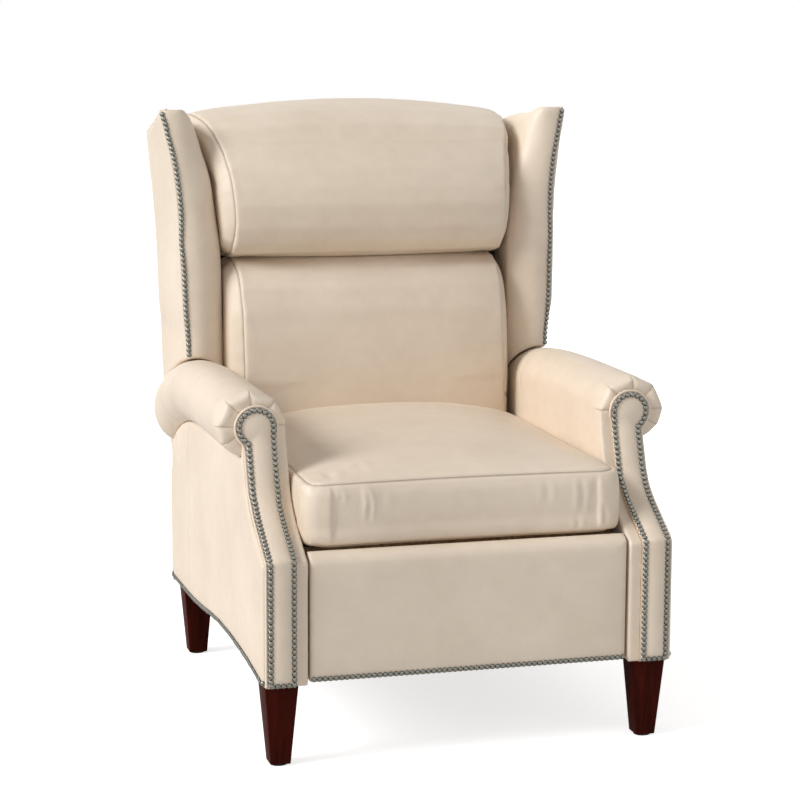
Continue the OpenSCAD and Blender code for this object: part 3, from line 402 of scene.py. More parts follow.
def nylon_finish(name):
    """Black moulded nylon with a faint speckle."""
    made, tree, place = empty_material(name)
    speck = noise(tree, place, 700.0, 3.0)
    dye = ramp(tree, speck, (0.0, (0.014, 0.014, 0.014)), (1.0, (0.045, 0.045, 0.045)))
    surface_shader(tree, dye, 0.55, bump(tree, speck, 0.2, 0.0003))
    return made


deck_black, glide_nylon = cloth_finish("black_deck_cloth"), nylon_finish("black_nylon")
print("blacks:", deck_black.name, "and", glide_nylon.name)

# %% [markdown]
# ## Finishes on the frame
#
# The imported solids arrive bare. Each says in its record what it is made of, so one loop dresses all of them,
# and a piece that is later added or renamed in the CAD model still finds its finish.

# %% The frame's finishes
FINISHES = {"leather": cream_leather, "mahogany": dark_mahogany, "frame_wood": raw_hardwood, "steel": strip_steel,
            "spring_steel": spring_wire, "cloth": deck_black, "nylon": glide_nylon}
slots = {s["node"]: s["material_slot"] for s in frame["record"]["subparts"]}
for name, solid in frame["nodes"].items():
    solid.data.materials.clear()
    solid.data.materials.append(FINISHES[slots[name]])
print(len(slots), "solids dressed in", sorted(FINISHES))

# %% [markdown]
# ## Tools of the trade: skins
#
# A leather cover is one continuous skin over padding, so it is made from a copy of the solids that it covers:
# the copies are joined, turned into one even net of small squares by a voxel remesh, and relaxed until the
# hard corners of the solids are the soft corners of padding. Modelling each cover from a cube would lose the
# measured shape, and keeping the solid would leave its facets.


# %% Selecting and copying
def deselect():
    """Leaves edit mode and selects nothing."""
    if bpy.context.object and bpy.context.object.mode != "OBJECT":
        bpy.ops.object.mode_set(mode="OBJECT")
    bpy.ops.object.select_all(action="DESELECT")


def use_only(piece):
    """Selects one piece and makes it the active one."""
    deselect()
    piece.select_set(True)
    bpy.context.view_layer.objects.active = piece


def copy_of(name, *nodes):
    """A merged copy of the named solids, as one new object."""
    deselect()
    for node in nodes:
        twin = bpy.data.objects.new(node + "_copy", frame["nodes"][node].data.copy())
        bpy.context.collection.objects.link(twin)
        twin.select_set(True)
        bpy.context.view_layer.objects.active = twin
    if len(nodes) > 1:
        bpy.ops.object.join()
    twin = bpy.context.view_layer.objects.active
    twin.name = name
    use_only(twin)
    bpy.ops.object.mode_set(mode="EDIT")
    bpy.ops.mesh.select_all(action="SELECT")
    bpy.ops.mesh.remove_doubles(threshold=0.00001)
    bpy.ops.object.mode_set(mode="OBJECT")
    twin.data.materials.clear()
    return twin


def join_onto(piece, extra):
    """Joins a second piece onto the first, which keeps its name."""
    use_only(extra)
    piece.select_set(True)
    bpy.context.view_layer.objects.active = piece
    bpy.ops.object.join()


print("copies are taken from", len(frame["nodes"]), "solids")


# %% Reading and moving a net
def points_of(piece):
    """All vertices of a piece, one row each."""
    co = np.empty(len(piece.data.vertices) * 3)
    piece.data.vertices.foreach_get("co", co)
    return co.reshape(-1, 3)


def normals_of(piece):
    """The way that each vertex faces."""
    piece.data.update()
    nrm = np.empty(len(piece.data.vertices) * 3)
    piece.data.vertex_normals.foreach_get("vector", nrm)
    return nrm.reshape(-1, 3)


def move_to(piece, co):
    """Puts every vertex at its row of co."""
    piece.data.vertices.foreach_set("co", np.ascontiguousarray(co, dtype=np.float32).ravel())
    piece.data.update()


def tree_of(piece):
    """A search tree over a piece's faces, for rays and nearest points."""
    faces = [list(p.vertices) for p in piece.data.polygons]
    return BVHTree.FromPolygons([Vector(v) for v in points_of(piece)], faces)


def smooth_step(low, high, value):
    """Zero below low, one above high, and a soft S between them."""
    t = np.clip((value - low) / (high - low), 0, 1)
    return t * t * (3 - 2 * t)


print("a quarter of the way, a smooth step has risen", float(smooth_step(0, 1, 0.25)))


# %% Skins
def finish_with(piece, kind, **settings):
    """Adds one modifier, sets it and applies it."""
    use_only(piece)
    made = piece.modifiers.new(kind.lower(), kind)
    for key, value in settings.items():
        setattr(made, key, value)
    bpy.ops.object.modifier_apply(modifier=made.name)


def relax(piece, rounds, **settings):
    """Lets the net settle, so that corners and steps soften."""
    finish_with(piece, "SMOOTH", factor=0.5, iterations=rounds, **settings)


def skin(piece, voxel, rounds):
    """Turns a copy of solids into an even net of squares, voxel millimetres wide, with softened corners."""
    finish_with(piece, "REMESH", mode="VOXEL", voxel_size=voxel / 1000, adaptivity=0.0, use_smooth_shade=True)
    if rounds:
        relax(piece, rounds)
    return piece


print("a skin is remeshed, then relaxed")

# %% [markdown]
# ## Tools of the trade: seams and folds
#
# A seam pulls the leather in along a line, and a fold pushes it up beside a furrow. Both could be cut into
# the mesh, but a cut would ruin its even net. So both are the same job on the net: measure every vertex's
# distance from a line, then move it along its normal by a bell curve of that distance. The seam also writes
# its two values for the leather material.


# %% Lines on the leather
def nearest_on(line, co):
    """For every point: distance from a chain of points, the nearest point on it, its direction, its share."""
    line = np.array([tuple(p) for p in line])
    a, b = line[:-1], line[1:]
    run = b - a
    square = np.maximum((run ** 2).sum(1), 1e-12)
    t = np.clip(((co[:, None, :] - a[None]) * run[None]).sum(2) / square[None], 0, 1)
    foot = a[None] + t[..., None] * run[None]
    gap = np.linalg.norm(co[:, None, :] - foot, axis=2)
    k = gap.argmin(1)
    rows = np.arange(len(co))
    length = np.sqrt(square)
    start = np.concatenate([[0], np.cumsum(length)[:-1]])
    share = (start[k] + t[rows, k] * length[k]) / length.sum()
    return gap[rows, k], foot[rows, k], run[k] / length[k][:, None], share


def walk(points, pitch):
    """Evenly spaced points along a chain of points, with as near to the pitch as fills it exactly."""
    points = np.array([tuple(p) for p in points])
    length = np.concatenate([[0], np.cumsum(np.linalg.norm(np.diff(points, axis=0), axis=1))])
    count = max(2, int(round(length[-1] / pitch)) + 1)
    steps = np.linspace(0, length[-1], count)
    return np.stack([np.interp(steps, length, points[:, k]) for k in range(3)], axis=1)


def smooth_chain(points, rounds):
    """Draws every inner point of a chain towards the middle of its neighbours."""
    points = np.array([tuple(p) for p in points])
    for _ in range(rounds):
        points[1:-1] = points[1:-1] / 2 + (points[:-2] + points[2:]) / 4
    return points


def lay(piece, points, rounds=3, step=0.005):
    """A smooth, evenly stepped chain through the points, laid onto a piece's surface."""
    surface = tree_of(piece)
    return [surface.find_nearest(Vector(p))[0] for p in smooth_chain(walk(points, step), rounds)]


def near_box(line, co, reach):
    """The numbers of the points that lie in the box round a line, reach metres larger on every side."""
    line = np.array([tuple(p) for p in line])
    inside = np.all((co > line.min(0) - reach) & (co < line.max(0) + reach), axis=1)
    return np.flatnonzero(inside)


print("a walk of 10 mm in steps of 5 mm has", len(walk([(0, 0, 0), (0.01, 0, 0)], 0.005)), "points")


# %% Seams
def no_seams_yet(piece):
    """Every leather piece carries the two seam values, also where nothing is sewn."""
    count = len(piece.data.vertices)
    for name, fresh in (("seam", 1.0), ("seam_depth", 0.0)):
        if name not in piece.data.attributes:
            made = piece.data.attributes.new(name, "FLOAT", "POINT")
            made.data.foreach_set("value", np.full(count, fresh))


def seam(piece, line, depth=1.0, pull=1.2, width=3.5, aside=0.0, reach=0.014):
    """Sews a seam along a line: pull and width shape the dent, and aside shifts it over the surface, in mm."""
    co, nrm = points_of(piece), normals_of(piece)
    some = near_box(line, co, reach + abs(aside) / 1000)
    if not len(some):
        return
    gap, foot, along, _ = nearest_on(line, co[some])
    side = np.cross(nrm[some], along)
    side /= np.maximum(np.linalg.norm(side, axis=1), 1e-9)[:, None]
    signed = ((co[some] - foot) * side).sum(1)
    signed = np.where(np.abs(signed) > 0.35 * gap, np.sign(signed) * gap, signed) - aside / 1000
    window = depth * (1 - smooth_step(0.55 * reach, reach, np.abs(signed)))
    window *= 1 - smooth_step(reach * 0.8, reach, np.maximum(gap - abs(aside) / 1000, 0))
    no_seams_yet(piece)
    old_gap, old_depth = (np.empty(len(co), dtype=np.float32) for _ in range(2))
    piece.data.attributes["seam"].data.foreach_get("value", old_gap)
    piece.data.attributes["seam_depth"].data.foreach_get("value", old_depth)
    take = window > np.where(np.abs(old_gap[some]) < np.abs(signed), old_depth[some], 0)
    take &= np.abs(signed) < np.abs(old_gap[some])
    old_gap[some[take]], old_depth[some[take]] = signed[take], window[take]
    piece.data.attributes["seam"].data.foreach_set("value", old_gap)
    piece.data.attributes["seam_depth"].data.foreach_set("value", old_depth)
    dent = pull / 1000 * window / max(depth, 1e-6) * np.exp(-(signed * 1000 / width) ** 2)
    co[some] -= nrm[some] * dent[:, None]
    move_to(piece, co)


print("a seam reaches 14 mm to either side")


# %% Folds
def fold(piece, line, width, height, facing, lip=0.45):
    """Presses a furrow along a line, height millimetres deep, that fades at both ends and lifts a lip beside it."""
    co, nrm = points_of(piece), normals_of(piece)
    some = near_box(line, co, width * 4 / 1000)
    some = some[(nrm[some] @ np.array(facing)) > 0.2]
    if not len(some):
        return
    gap, _, _, share = nearest_on(line, co[some])
    gap = gap * 1000 / width
    fade = np.sin(np.pi * np.clip(share, 0.02, 0.98)) ** 0.7
    bell = -np.exp(-gap ** 2) + lip * np.exp(-((gap - 1.9) / 0.9) ** 2)
    co[some] += nrm[some] * (height / 1000 * fade * bell)[:, None]
    move_to(piece, co)


print("a fold lifts a lip beside its furrow")

# %% [markdown]
# ## Tools of the trade: handing a piece over
#
# A finished cover is given its finish, shaded smooth and hung on the body that carries it, so that it moves
# with the chair, and the plain solids that it stands for are hidden.


# %% Into place
def into_place(piece, body, nodes=(), slot="leather", finish=None):
    """Dresses a finished piece: finish, smooth faces, the body it rides on and the solids it stands for."""
    if slot == "leather":
        no_seams_yet(piece)
    piece.data.materials.clear()
    piece.data.materials.append(finish or FINISHES[slot])
    use_only(piece)
    bpy.ops.object.shade_smooth()
    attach(piece, body)
    if nodes:
        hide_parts(*nodes)
    print(piece.name, len(piece.data.polygons), "faces on", body)
    return piece


# %% [markdown]
# ## Tools of the trade: blown-up cushions
#
# A boxed cushion is a leather case that foam and fibre push outwards, held in by its sewn edges. Cloth
# simulation does this directly: the case starts a little too small, its sewn edges are pinned, air pressure
# swells it, and no point may travel further than real foam would let it. Afterwards it is held close to the
# measured shape, because the measured crown already holds the filling's size.

# %% Cloth under air pressure
SHRINK, TRAVEL = 0.006, 0.024
HOLD_IN, HOLD_OUT = -0.0025, 0.0035
PRESSURE, FRAMES = 4.0, 20


def fill_case(piece, pinned):
    """Lets air pressure swell a leather case whose sewn edge is pinned."""
    pins = piece.vertex_groups.new(name="sewn_edge")
    for k in np.flatnonzero(pinned):
        pins.add([int(k)], 1.0, "REPLACE")
    use_only(piece)
    cloth = piece.modifiers.new("cloth", "CLOTH")
    cloth.settings.quality = 4
    cloth.settings.use_pressure = True
    cloth.settings.uniform_pressure_force = PRESSURE
    cloth.settings.vertex_group_mass = "sewn_edge"
    cloth.settings.effector_weights.gravity = 0
    cloth.collision_settings.use_collision = False
    cloth.point_cache.frame_start, cloth.point_cache.frame_end = 1, FRAMES
    for number in range(1, FRAMES + 1):
        bpy.context.scene.frame_set(number)
    bpy.ops.object.modifier_apply(modifier=cloth.name)
    bpy.context.scene.frame_set(1)
    piece.vertex_groups.clear()


def held_near(co, measured):
    """Every point, moved to no more than the held distances inside and outside the measured skin."""
    for k, p in enumerate(co):
        foot, facing, _, _ = measured.find_nearest(Vector(p))
        out = (Vector(p) - foot).dot(facing)
        co[k] = p + np.array(facing) * (min(max(out, HOLD_IN), HOLD_OUT) - out)
    return co


print("cushions swell for", FRAMES, "frames")


# %% Blowing up a cushion
def blow_up(piece, lines):
    """Swells a skinned cushion with pinned seams, and keeps it near its measured skin."""
    co, nrm = points_of(piece), normals_of(piece)
    measured, tree = co.copy(), tree_of(piece)
    gap = np.min([nearest_on(line, co)[0] for line in lines], axis=0)
    start = co - nrm * (SHRINK * smooth_step(0.004, 0.03, gap))[:, None]
    move_to(piece, start)
    fill_case(piece, gap < 0.0065)
    step = points_of(piece) - start
    travel = np.linalg.norm(step, axis=1)
    co = start + step * np.minimum(1, TRAVEL / np.maximum(travel, 1e-9))[:, None]
    move_to(piece, held_near(co, tree))
    relax(piece, 2)
    moved = float(np.linalg.norm(points_of(piece) - measured, axis=1).max())
    print(piece.name, "swelled", round(moved * 1000, 1), "mm")
    finish_with(piece, "SUBSURF", levels=1, render_levels=1)


print("cushions will be blown up")


# %% Pressing against walls, and rings
def press(piece, facing, most, walls=(), lines=(), air=0.4, only=None):
    """Swells the faces that look one way, up to most millimetres, until they touch a wall; lines stay put."""
    co, nrm = points_of(piece), normals_of(piece)
    way = Vector(facing).normalized()
    look = nrm @ np.array(way)
    some = np.flatnonzero((look > 0.2) & (only(co) if only else True))
    gain = most / 1000 * smooth_step(0.2, 0.6, look[some])
    for line in lines:
        gain *= smooth_step(0.0, 0.024, nearest_on(line, co[some])[0])
    for wall in walls:
        room = [wall.ray_cast(Vector(co[k]), way)[3] for k in some]
        gain = np.minimum(gain, [max(0, (1 if r is None else r) - air / 1000) for r in room])
    co[some] += np.array(way) * gain[:, None]
    move_to(piece, co)


def ring_at(solid, z, grow=1.0):
    """The solid's own points at one height, in order round its middle, as a closed chain."""
    co = points_of(solid)
    ring = co[np.abs(co[:, 2] - z) < 0.0008]
    middle = (ring.max(0) + ring.min(0)) / 2
    ring = ring[np.argsort(np.arctan2(ring[:, 1] - middle[1], ring[:, 0] - middle[0]))]
    ring = middle + (ring - middle) * (grow, grow, 1)
    return np.vstack([ring, ring[:1]])


def front_at(tree, x, z):
    """The foremost point of a piece at one place across and one height, or nothing."""
    return tree.ray_cast(Vector((x, cad_low.y, z)), Vector((0, 1, 0)))[0]


print("a pressed face stops 0.4 mm from the wall")

# %% [markdown]
# ## Seat cushion
#
# A boxed cushion: a crowned top panel and a flat bottom panel joined by a band, with a thin seam round each
# edge and rounded front corners. Its case is the solid's skin, blown up between its two seams, and then
# pressed out until its sides touch the arms, as a real cushion that is cut a little too wide does.

# %% Seat case and filling
SEAT_HEIGHT = 0.114
SEAM_INSET, SEAM_LIFT = 0.9935, 0.0042
seat_cover = copy_of("seat_cushion_cover", "seat_cushion")
low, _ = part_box("seat_cushion")
top_seam = ring_at(seat_cover, low.z + 0.96 * SEAT_HEIGHT, SEAM_INSET) + (0, 0, SEAM_LIFT)
foot_seam = ring_at(seat_cover, low.z + 0.06 * SEAT_HEIGHT, SEAM_INSET) - (0, 0, SEAM_LIFT)
skin(seat_cover, 7, 1)
blow_up(seat_cover, (top_seam, foot_seam))
print("seat seams have", len(top_seam), "and", len(foot_seam), "points")


# %% Seat against the arms
def front_corner(co):
    """The seat's two front corners."""
    return (abs(co[:, 0]) > 0.25) & (co[:, 1] < cad_low.y + 0.1)


arm_walls = {side: tree_of(frame["nodes"]["inside_arm_" + name]) for name, side in SIDES.items()}
for side, wall in arm_walls.items():
    press(seat_cover, (side, 0, 0), 7.5, walls=[wall])
    press(seat_cover, (side, -1, 0), 3.5, lines=[top_seam, foot_seam], only=front_corner)
press(seat_cover, (0, -1, 0), 3.0, lines=[top_seam, foot_seam])
print("seat is", round(float(np.ptp(points_of(seat_cover)[:, 0])) * 1000), "mm wide")

# %% [markdown]
# The filling also stands higher in the middle than at the edges, and the lower front hangs a little over the
# legrest. Both are gentle slopes, so they are moves of the net by smooth steps, not new geometry.

# %% Crown and overhang
co = points_of(seat_cover)
depth = co[:, 1] - cad_low.y
crown = np.clip(1 - np.abs(co[:, 0] / 0.287) ** 5, 0, 1)
crown *= smooth_step(0.1, 0.5, depth) * smooth_step(0.47, 0.51, co[:, 2])
co[:, 2] += 0.012 * crown
overhang = (1 - smooth_step(0.395, 0.43, co[:, 2])) * (1 - smooth_step(0.09, 0.14, depth))
co[:, 1] -= 0.006 * overhang
co[:, 2] -= 0.0015 * overhang
move_to(seat_cover, co)
relax(seat_cover, 2)
print("seat crown is at", round(float(co[:, 2].max()) * 1000), "mm")

# %% [markdown]
# The band is pulled over the foam by hand, so its front shows a few short vertical puckers that hang from the
# top seam, and two of them run on over the top. Wrinkles of random noise would look like crumpled paper, so
# each is placed where the real chair has it.

# %% Seat seams and puckers
PUCKERS = (  # across, top, foot, depth of the furrow, width
    (-262, 500, 478, 0.6, 5), (-238, 503, 466, 3.0, 5), (-186, 502, 436, 5.6, 4.5), (-160, 498, 458, 1.0, 7),
    (147, 497, 450, 1.8, 7), (214, 500, 428, 3.0, 6), (238, 502, 456, 3.0, 4.5), (206, 424, 396, 2.0, 5),
    (258, 442, 402, 2.6, 5))
TOP_CREASES = ((-242, 92), (-177, 122))
for line in (top_seam, foot_seam):
    seam(seat_cover, lay(seat_cover, line, 1), pull=1.8, width=4)
for x, top, foot, deep, wide in PUCKERS:
    line = [at(x, 36, top), at(x + 5, 34, (top + foot) / 2), at(x + 3, 35, foot)]
    fold(seat_cover, line, wide, deep, facing=(0, -1, 0))
for x, depth in TOP_CREASES:
    line = [at(x - 6, depth - 34, 506), at(x, depth, 508), at(x + 4, depth + 30, 510)]
    fold(seat_cover, line, 9, 1.8, facing=(0, 0, 1))
into_place(seat_cover, "seat", ["seat_cushion"])

# %% [markdown]
# ## Back cushions
#
# The lumbar cushion stands on the deck behind the seat cushion, the head cushion wraps over the top of the
# back. Each is a wide front panel with boxed ends, so each has one long seam at either end, measured from the
# photo. The fronts stay tight. The ends swell until they lie against the wings, and the two meet in a crease.

# %% End seams of the back cushions
LUMBAR_SEAM = (
    (284, 790, 830), (285, 742, 821), (279, 712, 802), (275, 700, 778), (273, 680, 727), (274, 672, 673),
    (275, 664, 621), (276, 662, 560), (277, 664, 500))
HEAD_SEAM = (
    (331, 930, 1112), (325, 880, 1108), (317, 832, 1098), (309, 787, 1080), (300, 749, 1045), (294, 723, 1010),
    (289, 705, 975), (286.5, 696, 939), (283.6, 697, 902), (283, 712, 868), (284, 745, 842), (288, 796, 832))
RIGHT_SEAMS_OUT = 7
END_SWELL = {-1: 16, 1: 9}


def end_seams(pad, measured):
    """The seam at either end of a back cushion, laid onto its skin; the right one sits a little further out."""
    lines = {}
    for side in SIDES.values():
        out = RIGHT_SEAMS_OUT if side > 0 else 0
        lines[side] = lay(pad, [at(side * (x + out), depth, z) for x, depth, z in measured])
    return lines


print("end seams have", len(LUMBAR_SEAM), "and", len(HEAD_SEAM), "measured points")

# %% [markdown]
# The solid of the lumbar cushion curves away under its front, to leave the seat room when the back reclines.
# The leather one is softer: its front hangs straight down and rests on the seat cushion.


# %% Lumbar foot on the seat
def stand_on_seat(pad):
    """Brings the lumbar cushion's lower front forward, so that it goes straight down to the seat cushion."""
    co, skin_now, seat_top = points_of(pad), tree_of(pad), tree_of(seat_cover)
    for k in np.flatnonzero(co[:, 2] < 0.64):
        x, y, z = co[k]
        here, above = front_at(skin_now, x, z), front_at(skin_now, x, 0.635)
        if not here or not above:
            continue
        lead = min(max(here.y - above.y + 0.003, 0), 0.06) * (1 - smooth_step(0.585, 0.63, z))
        under = seat_top.ray_cast(Vector((x, y - 0.04, 1.0)), Vector((0, 0, -1)))[0]
        below = max(0, (under.z if under else 0.49) - 0.004 - z)
        near = 1 - smooth_step(0, 0.07, y - here.y)
        co[k, 1] -= lead * near * (1 - smooth_step(0, 0.04, below))
        if near > 0.3:
            co[k, 2] += below * (1 - smooth_step(0.028, 0.036, below))
    move_to(pad, co)
    relax(pad, 2)


print("the seat cushion's top is the lumbar cushion's floor")

# %% Back cushions blown up
wing_walls = {side: tree_of(frame["nodes"]["wing_" + name]) for name, side in SIDES.items()}
back_pads = {}
for node, measured in (("lumbar_cushion", LUMBAR_SEAM), ("head_cushion", HEAD_SEAM)):
    pad = skin(copy_of(node + "_cover", node), 7, 1)
    ends = end_seams(pad, measured)
    blow_up(pad, ends.values())
    for side in SIDES.values():
        walls = [wing_walls[side], arm_walls[side]]
        press(pad, (side, 0, 0), END_SWELL[side], walls=walls, lines=[ends[side]])
    back_pads[node] = (pad, ends)
print("blown up:", ", ".join(back_pads))

# %% [markdown]
# The two cushions are pressed together until they meet, the lumbar cushion upwards and the head cushion down
# and a little forward, which gives the crease between them. Only then are the seams sewn, because relaxing
# afterwards would wash them out.

# %% Back cushions together
lumbar, head = (pad for pad, _ in back_pads.values())
press(head, (0, 0, 1), 1.5, only=lambda co: co[:, 2] > 1.06)
stand_on_seat(lumbar)
press(lumbar, (0, 0, 1), 4, walls=[tree_of(head)])
press(head, (0, -0.25, -1), 6, walls=[tree_of(lumbar)])
for node, (pad, ends) in back_pads.items():
    relax(pad, 5)
    for line in ends.values():
        seam(pad, lay(pad, line, 1), pull=1.6, width=4)
    into_place(pad, "back", [node])

# %% [markdown]
# ## Arms
#
# One cover runs from the seat side up over the roll and down behind it. At the front it is gathered round
# the scroll head in six pleats, so that the roll's outline there is a polygon with soft flats, which melts
# into the round roll within a hand's breadth. Folding six flaps by hand would leave creases that don't meet.
# So the skin is taken over the roll and the inside arm together and pulled onto that polygon.

# %% Pleated front of a roll
PLEATS = (-33, 0, 45, 88, 135, 180)
ROLL_X, ROLL_Z, ROLL_FRONT = 364.0, 590.0, 175.0
FLAT_RADIUS, ROLL_RADIUS = 66.5, 64


def gather_front(piece, side):
    """Draws the roll's front end onto the polygon of its pleats and puffs the leather between them."""
    co = points_of(piece)
    x = side * co[:, 0] * 1000 - ROLL_X
    z = co[:, 2] * 1000 - ROLL_Z
    depth = (co[:, 1] - cad_low.y) * 1000 - ROLL_FRONT
    turn = np.degrees(np.arctan2(z, x))
    radius = np.hypot(x, z)
    corners = np.array(PLEATS, float)
    k = np.clip(np.searchsorted(corners, turn) - 1, 0, len(corners) - 2)
    half = (corners[k + 1] - corners[k]) / 2
    offset = turn - corners[k] - half
    flat = FLAT_RADIUS * np.cos(np.radians(half)) / np.cos(np.radians(np.clip(offset, -half, half)))
    band = smooth_step(-40, -28, turn)
    fade = (1 - smooth_step(6, 62, depth)) * (depth > -40) * band * smooth_step(20, 45, radius)
    factor = 1 + fade * (flat / ROLL_RADIUS - 1)
    co[:, 0] = side * (ROLL_X + x * factor) / 1000
    co[:, 2] = (ROLL_Z + z * factor) / 1000
    puff = np.cos(np.radians(np.clip(offset / half, -1, 1) * 90))
    puff *= smooth_step(38, 50, radius) * (1 - smooth_step(58, 68, radius))
    co[:, 1] -= 0.0022 * puff * band * (depth < 30) * (depth > -10)
    move_to(piece, co)


print(len(PLEATS), "pleats round each scroll head")

# %% [markdown]
# Each pleat is then sewn as a line from the head to the edge and over it, and one more seam runs over the
# roll behind the wing, where the hide of the arm ends and a second one begins.


# %% Seams of an arm
def sew_pleats(roll, side):
    """Sews the pleats, from the scroll head outwards and over the roll's edge."""
    for a in np.radians(PLEATS):
        reach = [(r, ROLL_FRONT) for r in (40, 52, 62)] + [(66, ROLL_FRONT + 4), (66, ROLL_FRONT + 9)]
        line = [at(side * (ROLL_X + r * math.cos(a)), d, ROLL_Z + r * math.sin(a)) for r, d in reach]
        seam(roll, line, depth=0.6, pull=1.6, width=3.4, reach=0.011)


def sew_rear_join(roll, side, depth=640):
    """Sews the hides of the roll together, along the line where rays from its middle meet the leather."""
    surface = tree_of(roll)
    middle = at(side * ROLL_X, depth, ROLL_Z - 30)
    turns = np.radians(np.arange(-20, 178, 4))
    hits = [surface.ray_cast(middle, Vector((side * math.cos(a), 0, math.sin(a))))[0] for a in turns]
    seam(roll, [p for p in hits if p], depth=0.6, pull=0.6, width=3, reach=0.010)


print("the arm's rear join lies 640 mm back")

# %% Arm covers
for name, side in SIDES.items():
    roll = copy_of("arm_cover_" + name, "arm_roll_" + name)
    inside = copy_of("inside_" + name, "inside_arm_" + name)
    co = points_of(inside)
    under_roll = (co[:, 2] > 0.4) & (co[:, 1] > cad_low.y + 0.1752)
    co[under_roll, 2] += 0.002
    beside_front = np.abs(co[:, 0]) > 0.3212
    co[beside_front, 0] = side * 0.332
    move_to(inside, co)
    join_onto(roll, inside)
    skin(roll, 3.6, 2)
    gather_front(roll, side)
    sew_pleats(roll, side)
    sew_rear_join(roll, side)
    into_place(roll, "base", ["arm_roll_" + name, "inside_arm_" + name])

# %% [markdown]
# ## Outside arms and back
#
# A thin padded panel closes each side. Its lower edge is an arch between the legs, and a second hide is
# joined on behind with an upright seam. The base and the back are closed by panels of the same kind. Each is
# skinned, and the faces of the sides and of the outside back swell a little away from their edges, as leather
# over wadding does.


# %% Padding of a flat panel
def pad_out(piece, facing, amount, from_edge):
    """Swells the faces that look one way, by how far they are from that face's edge."""
    co, nrm = points_of(piece), normals_of(piece)
    looks = nrm @ np.array(facing, float)
    rim = co[(looks > 0.25) & (looks < 0.8)]
    face = np.flatnonzero(looks > 0.6)
    if not len(rim) or not len(face):
        return
    rim = rim[:: max(1, len(rim) // 1500)]
    parts = np.array_split(co[face], 40)
    gap = np.concatenate([np.linalg.norm(part[:, None] - rim[None], axis=2).min(1) for part in parts])
    rise = np.sin(np.clip(gap * 1000 / from_edge, 0, 1) * np.pi / 2)
    co[face] += np.array(facing, float) * (amount / 1000 * rise)[:, None]
    move_to(piece, co)


def side_hit(tree, side, depth, z):
    """The outermost point of a side of the chair, seen from that side, or nothing."""
    return tree.ray_cast(at(side * 600, depth, z), Vector((-side, 0, 0)))[0]


print("panels are padded by 2 to 3 mm")

# %% Outside arms
sides_out = {}
for name, side in SIDES.items():
    panel = copy_of("outside_arm_cover_" + name, "outside_arm_" + name)
    skin(panel, 4, 1)
    pad_out(panel, (side, 0, 0), 2.0, 60)
    relax(panel, 10)
    outer = tree_of(panel)
    hits = [side_hit(outer, side, 655, z) for z in range(170, 560, 20)]
    seam(panel, [p for p in hits if p], depth=0.8, pull=0.8, width=3, reach=0.010)
    sides_out[name] = panel
    into_place(panel, "base", ["outside_arm_" + name])

# %% Rear panel and outside back
BACK_FACING = (0, 0.9877, -0.1564)
rear_cover = skin(copy_of("rear_panel_cover", "rear_panel"), 5, 1)
into_place(rear_cover, "base", ["rear_panel"])
back_cover = skin(copy_of("outside_back_cover", "outside_back"), 5, 2)
pad_out(back_cover, BACK_FACING, 2.0, 90)
into_place(back_cover, "back", ["outside_back"])

# %% [markdown]
# ## Arm fronts
#
# The most skilled piece of the chair: a board with a scroll head, bent back along the arm's sweep, padded
# and covered, with a self welt round it. The nails run just inside its edge and hold the leather down, so
# the middle swells up between the two rows. The nails, the groove and the welt all follow one outline, drawn
# flat as an upholsterer's pattern is, and then laid onto the swept board.

# %% Outline of an arm front
SCROLL_X, SCROLL_Z, SCROLL_RADIUS = 357.3, 588.0, 31.3
FRONT_FOOT, KNEE, SHOULDER = 156.5, 380, 464
INNER_X = (328, 327.2, 326)  # below the knee, along the sweep, above the shoulder
OUTER_X = (370, 371, 372)


def front_line(surface, side, flat):
    """Lifts a flat outline, in x and z, onto the sweep of an arm front by looking at it from ahead."""
    hits = [surface.ray_cast(at(side * x, -60, z), Vector((0, 1, 0)))[0] for x, z in flat]
    return [p for p in hits if p]


def arm_outline(grow=0.0, foot=FRONT_FOOT):
    """Outline of an arm front in x and z: grow is how far outside the nail row it runs."""
    inner = [(INNER_X[0] - grow, z) for z in np.arange(foot, KNEE, 4)]
    inner += [(INNER_X[1] - grow, z) for z in np.arange(KNEE, SHOULDER, 2)]
    inner += [(INNER_X[2] - grow, z) for z in np.arange(SHOULDER, SCROLL_Z, 4)]
    r = SCROLL_RADIUS + grow
    low = math.degrees(math.acos(min(1, (OUTER_X[2] - SCROLL_X + grow) / r)))
    turns = np.radians(np.arange(180, -low, -4))
    arc = [(SCROLL_X + r * math.cos(a), SCROLL_Z + r * math.sin(a)) for a in turns]
    outer = [(OUTER_X[2] + grow, z) for z in np.arange(arc[-1][1] - 3, SHOULDER, -4)]
    outer += [(OUTER_X[1] + grow, z) for z in np.arange(SHOULDER, KNEE, -2)]
    outer += [(OUTER_X[0] + grow, z) for z in np.arange(KNEE, foot, -4)]
    return inner + arc + outer


print("an arm front's outline has", len(arm_outline()), "points")

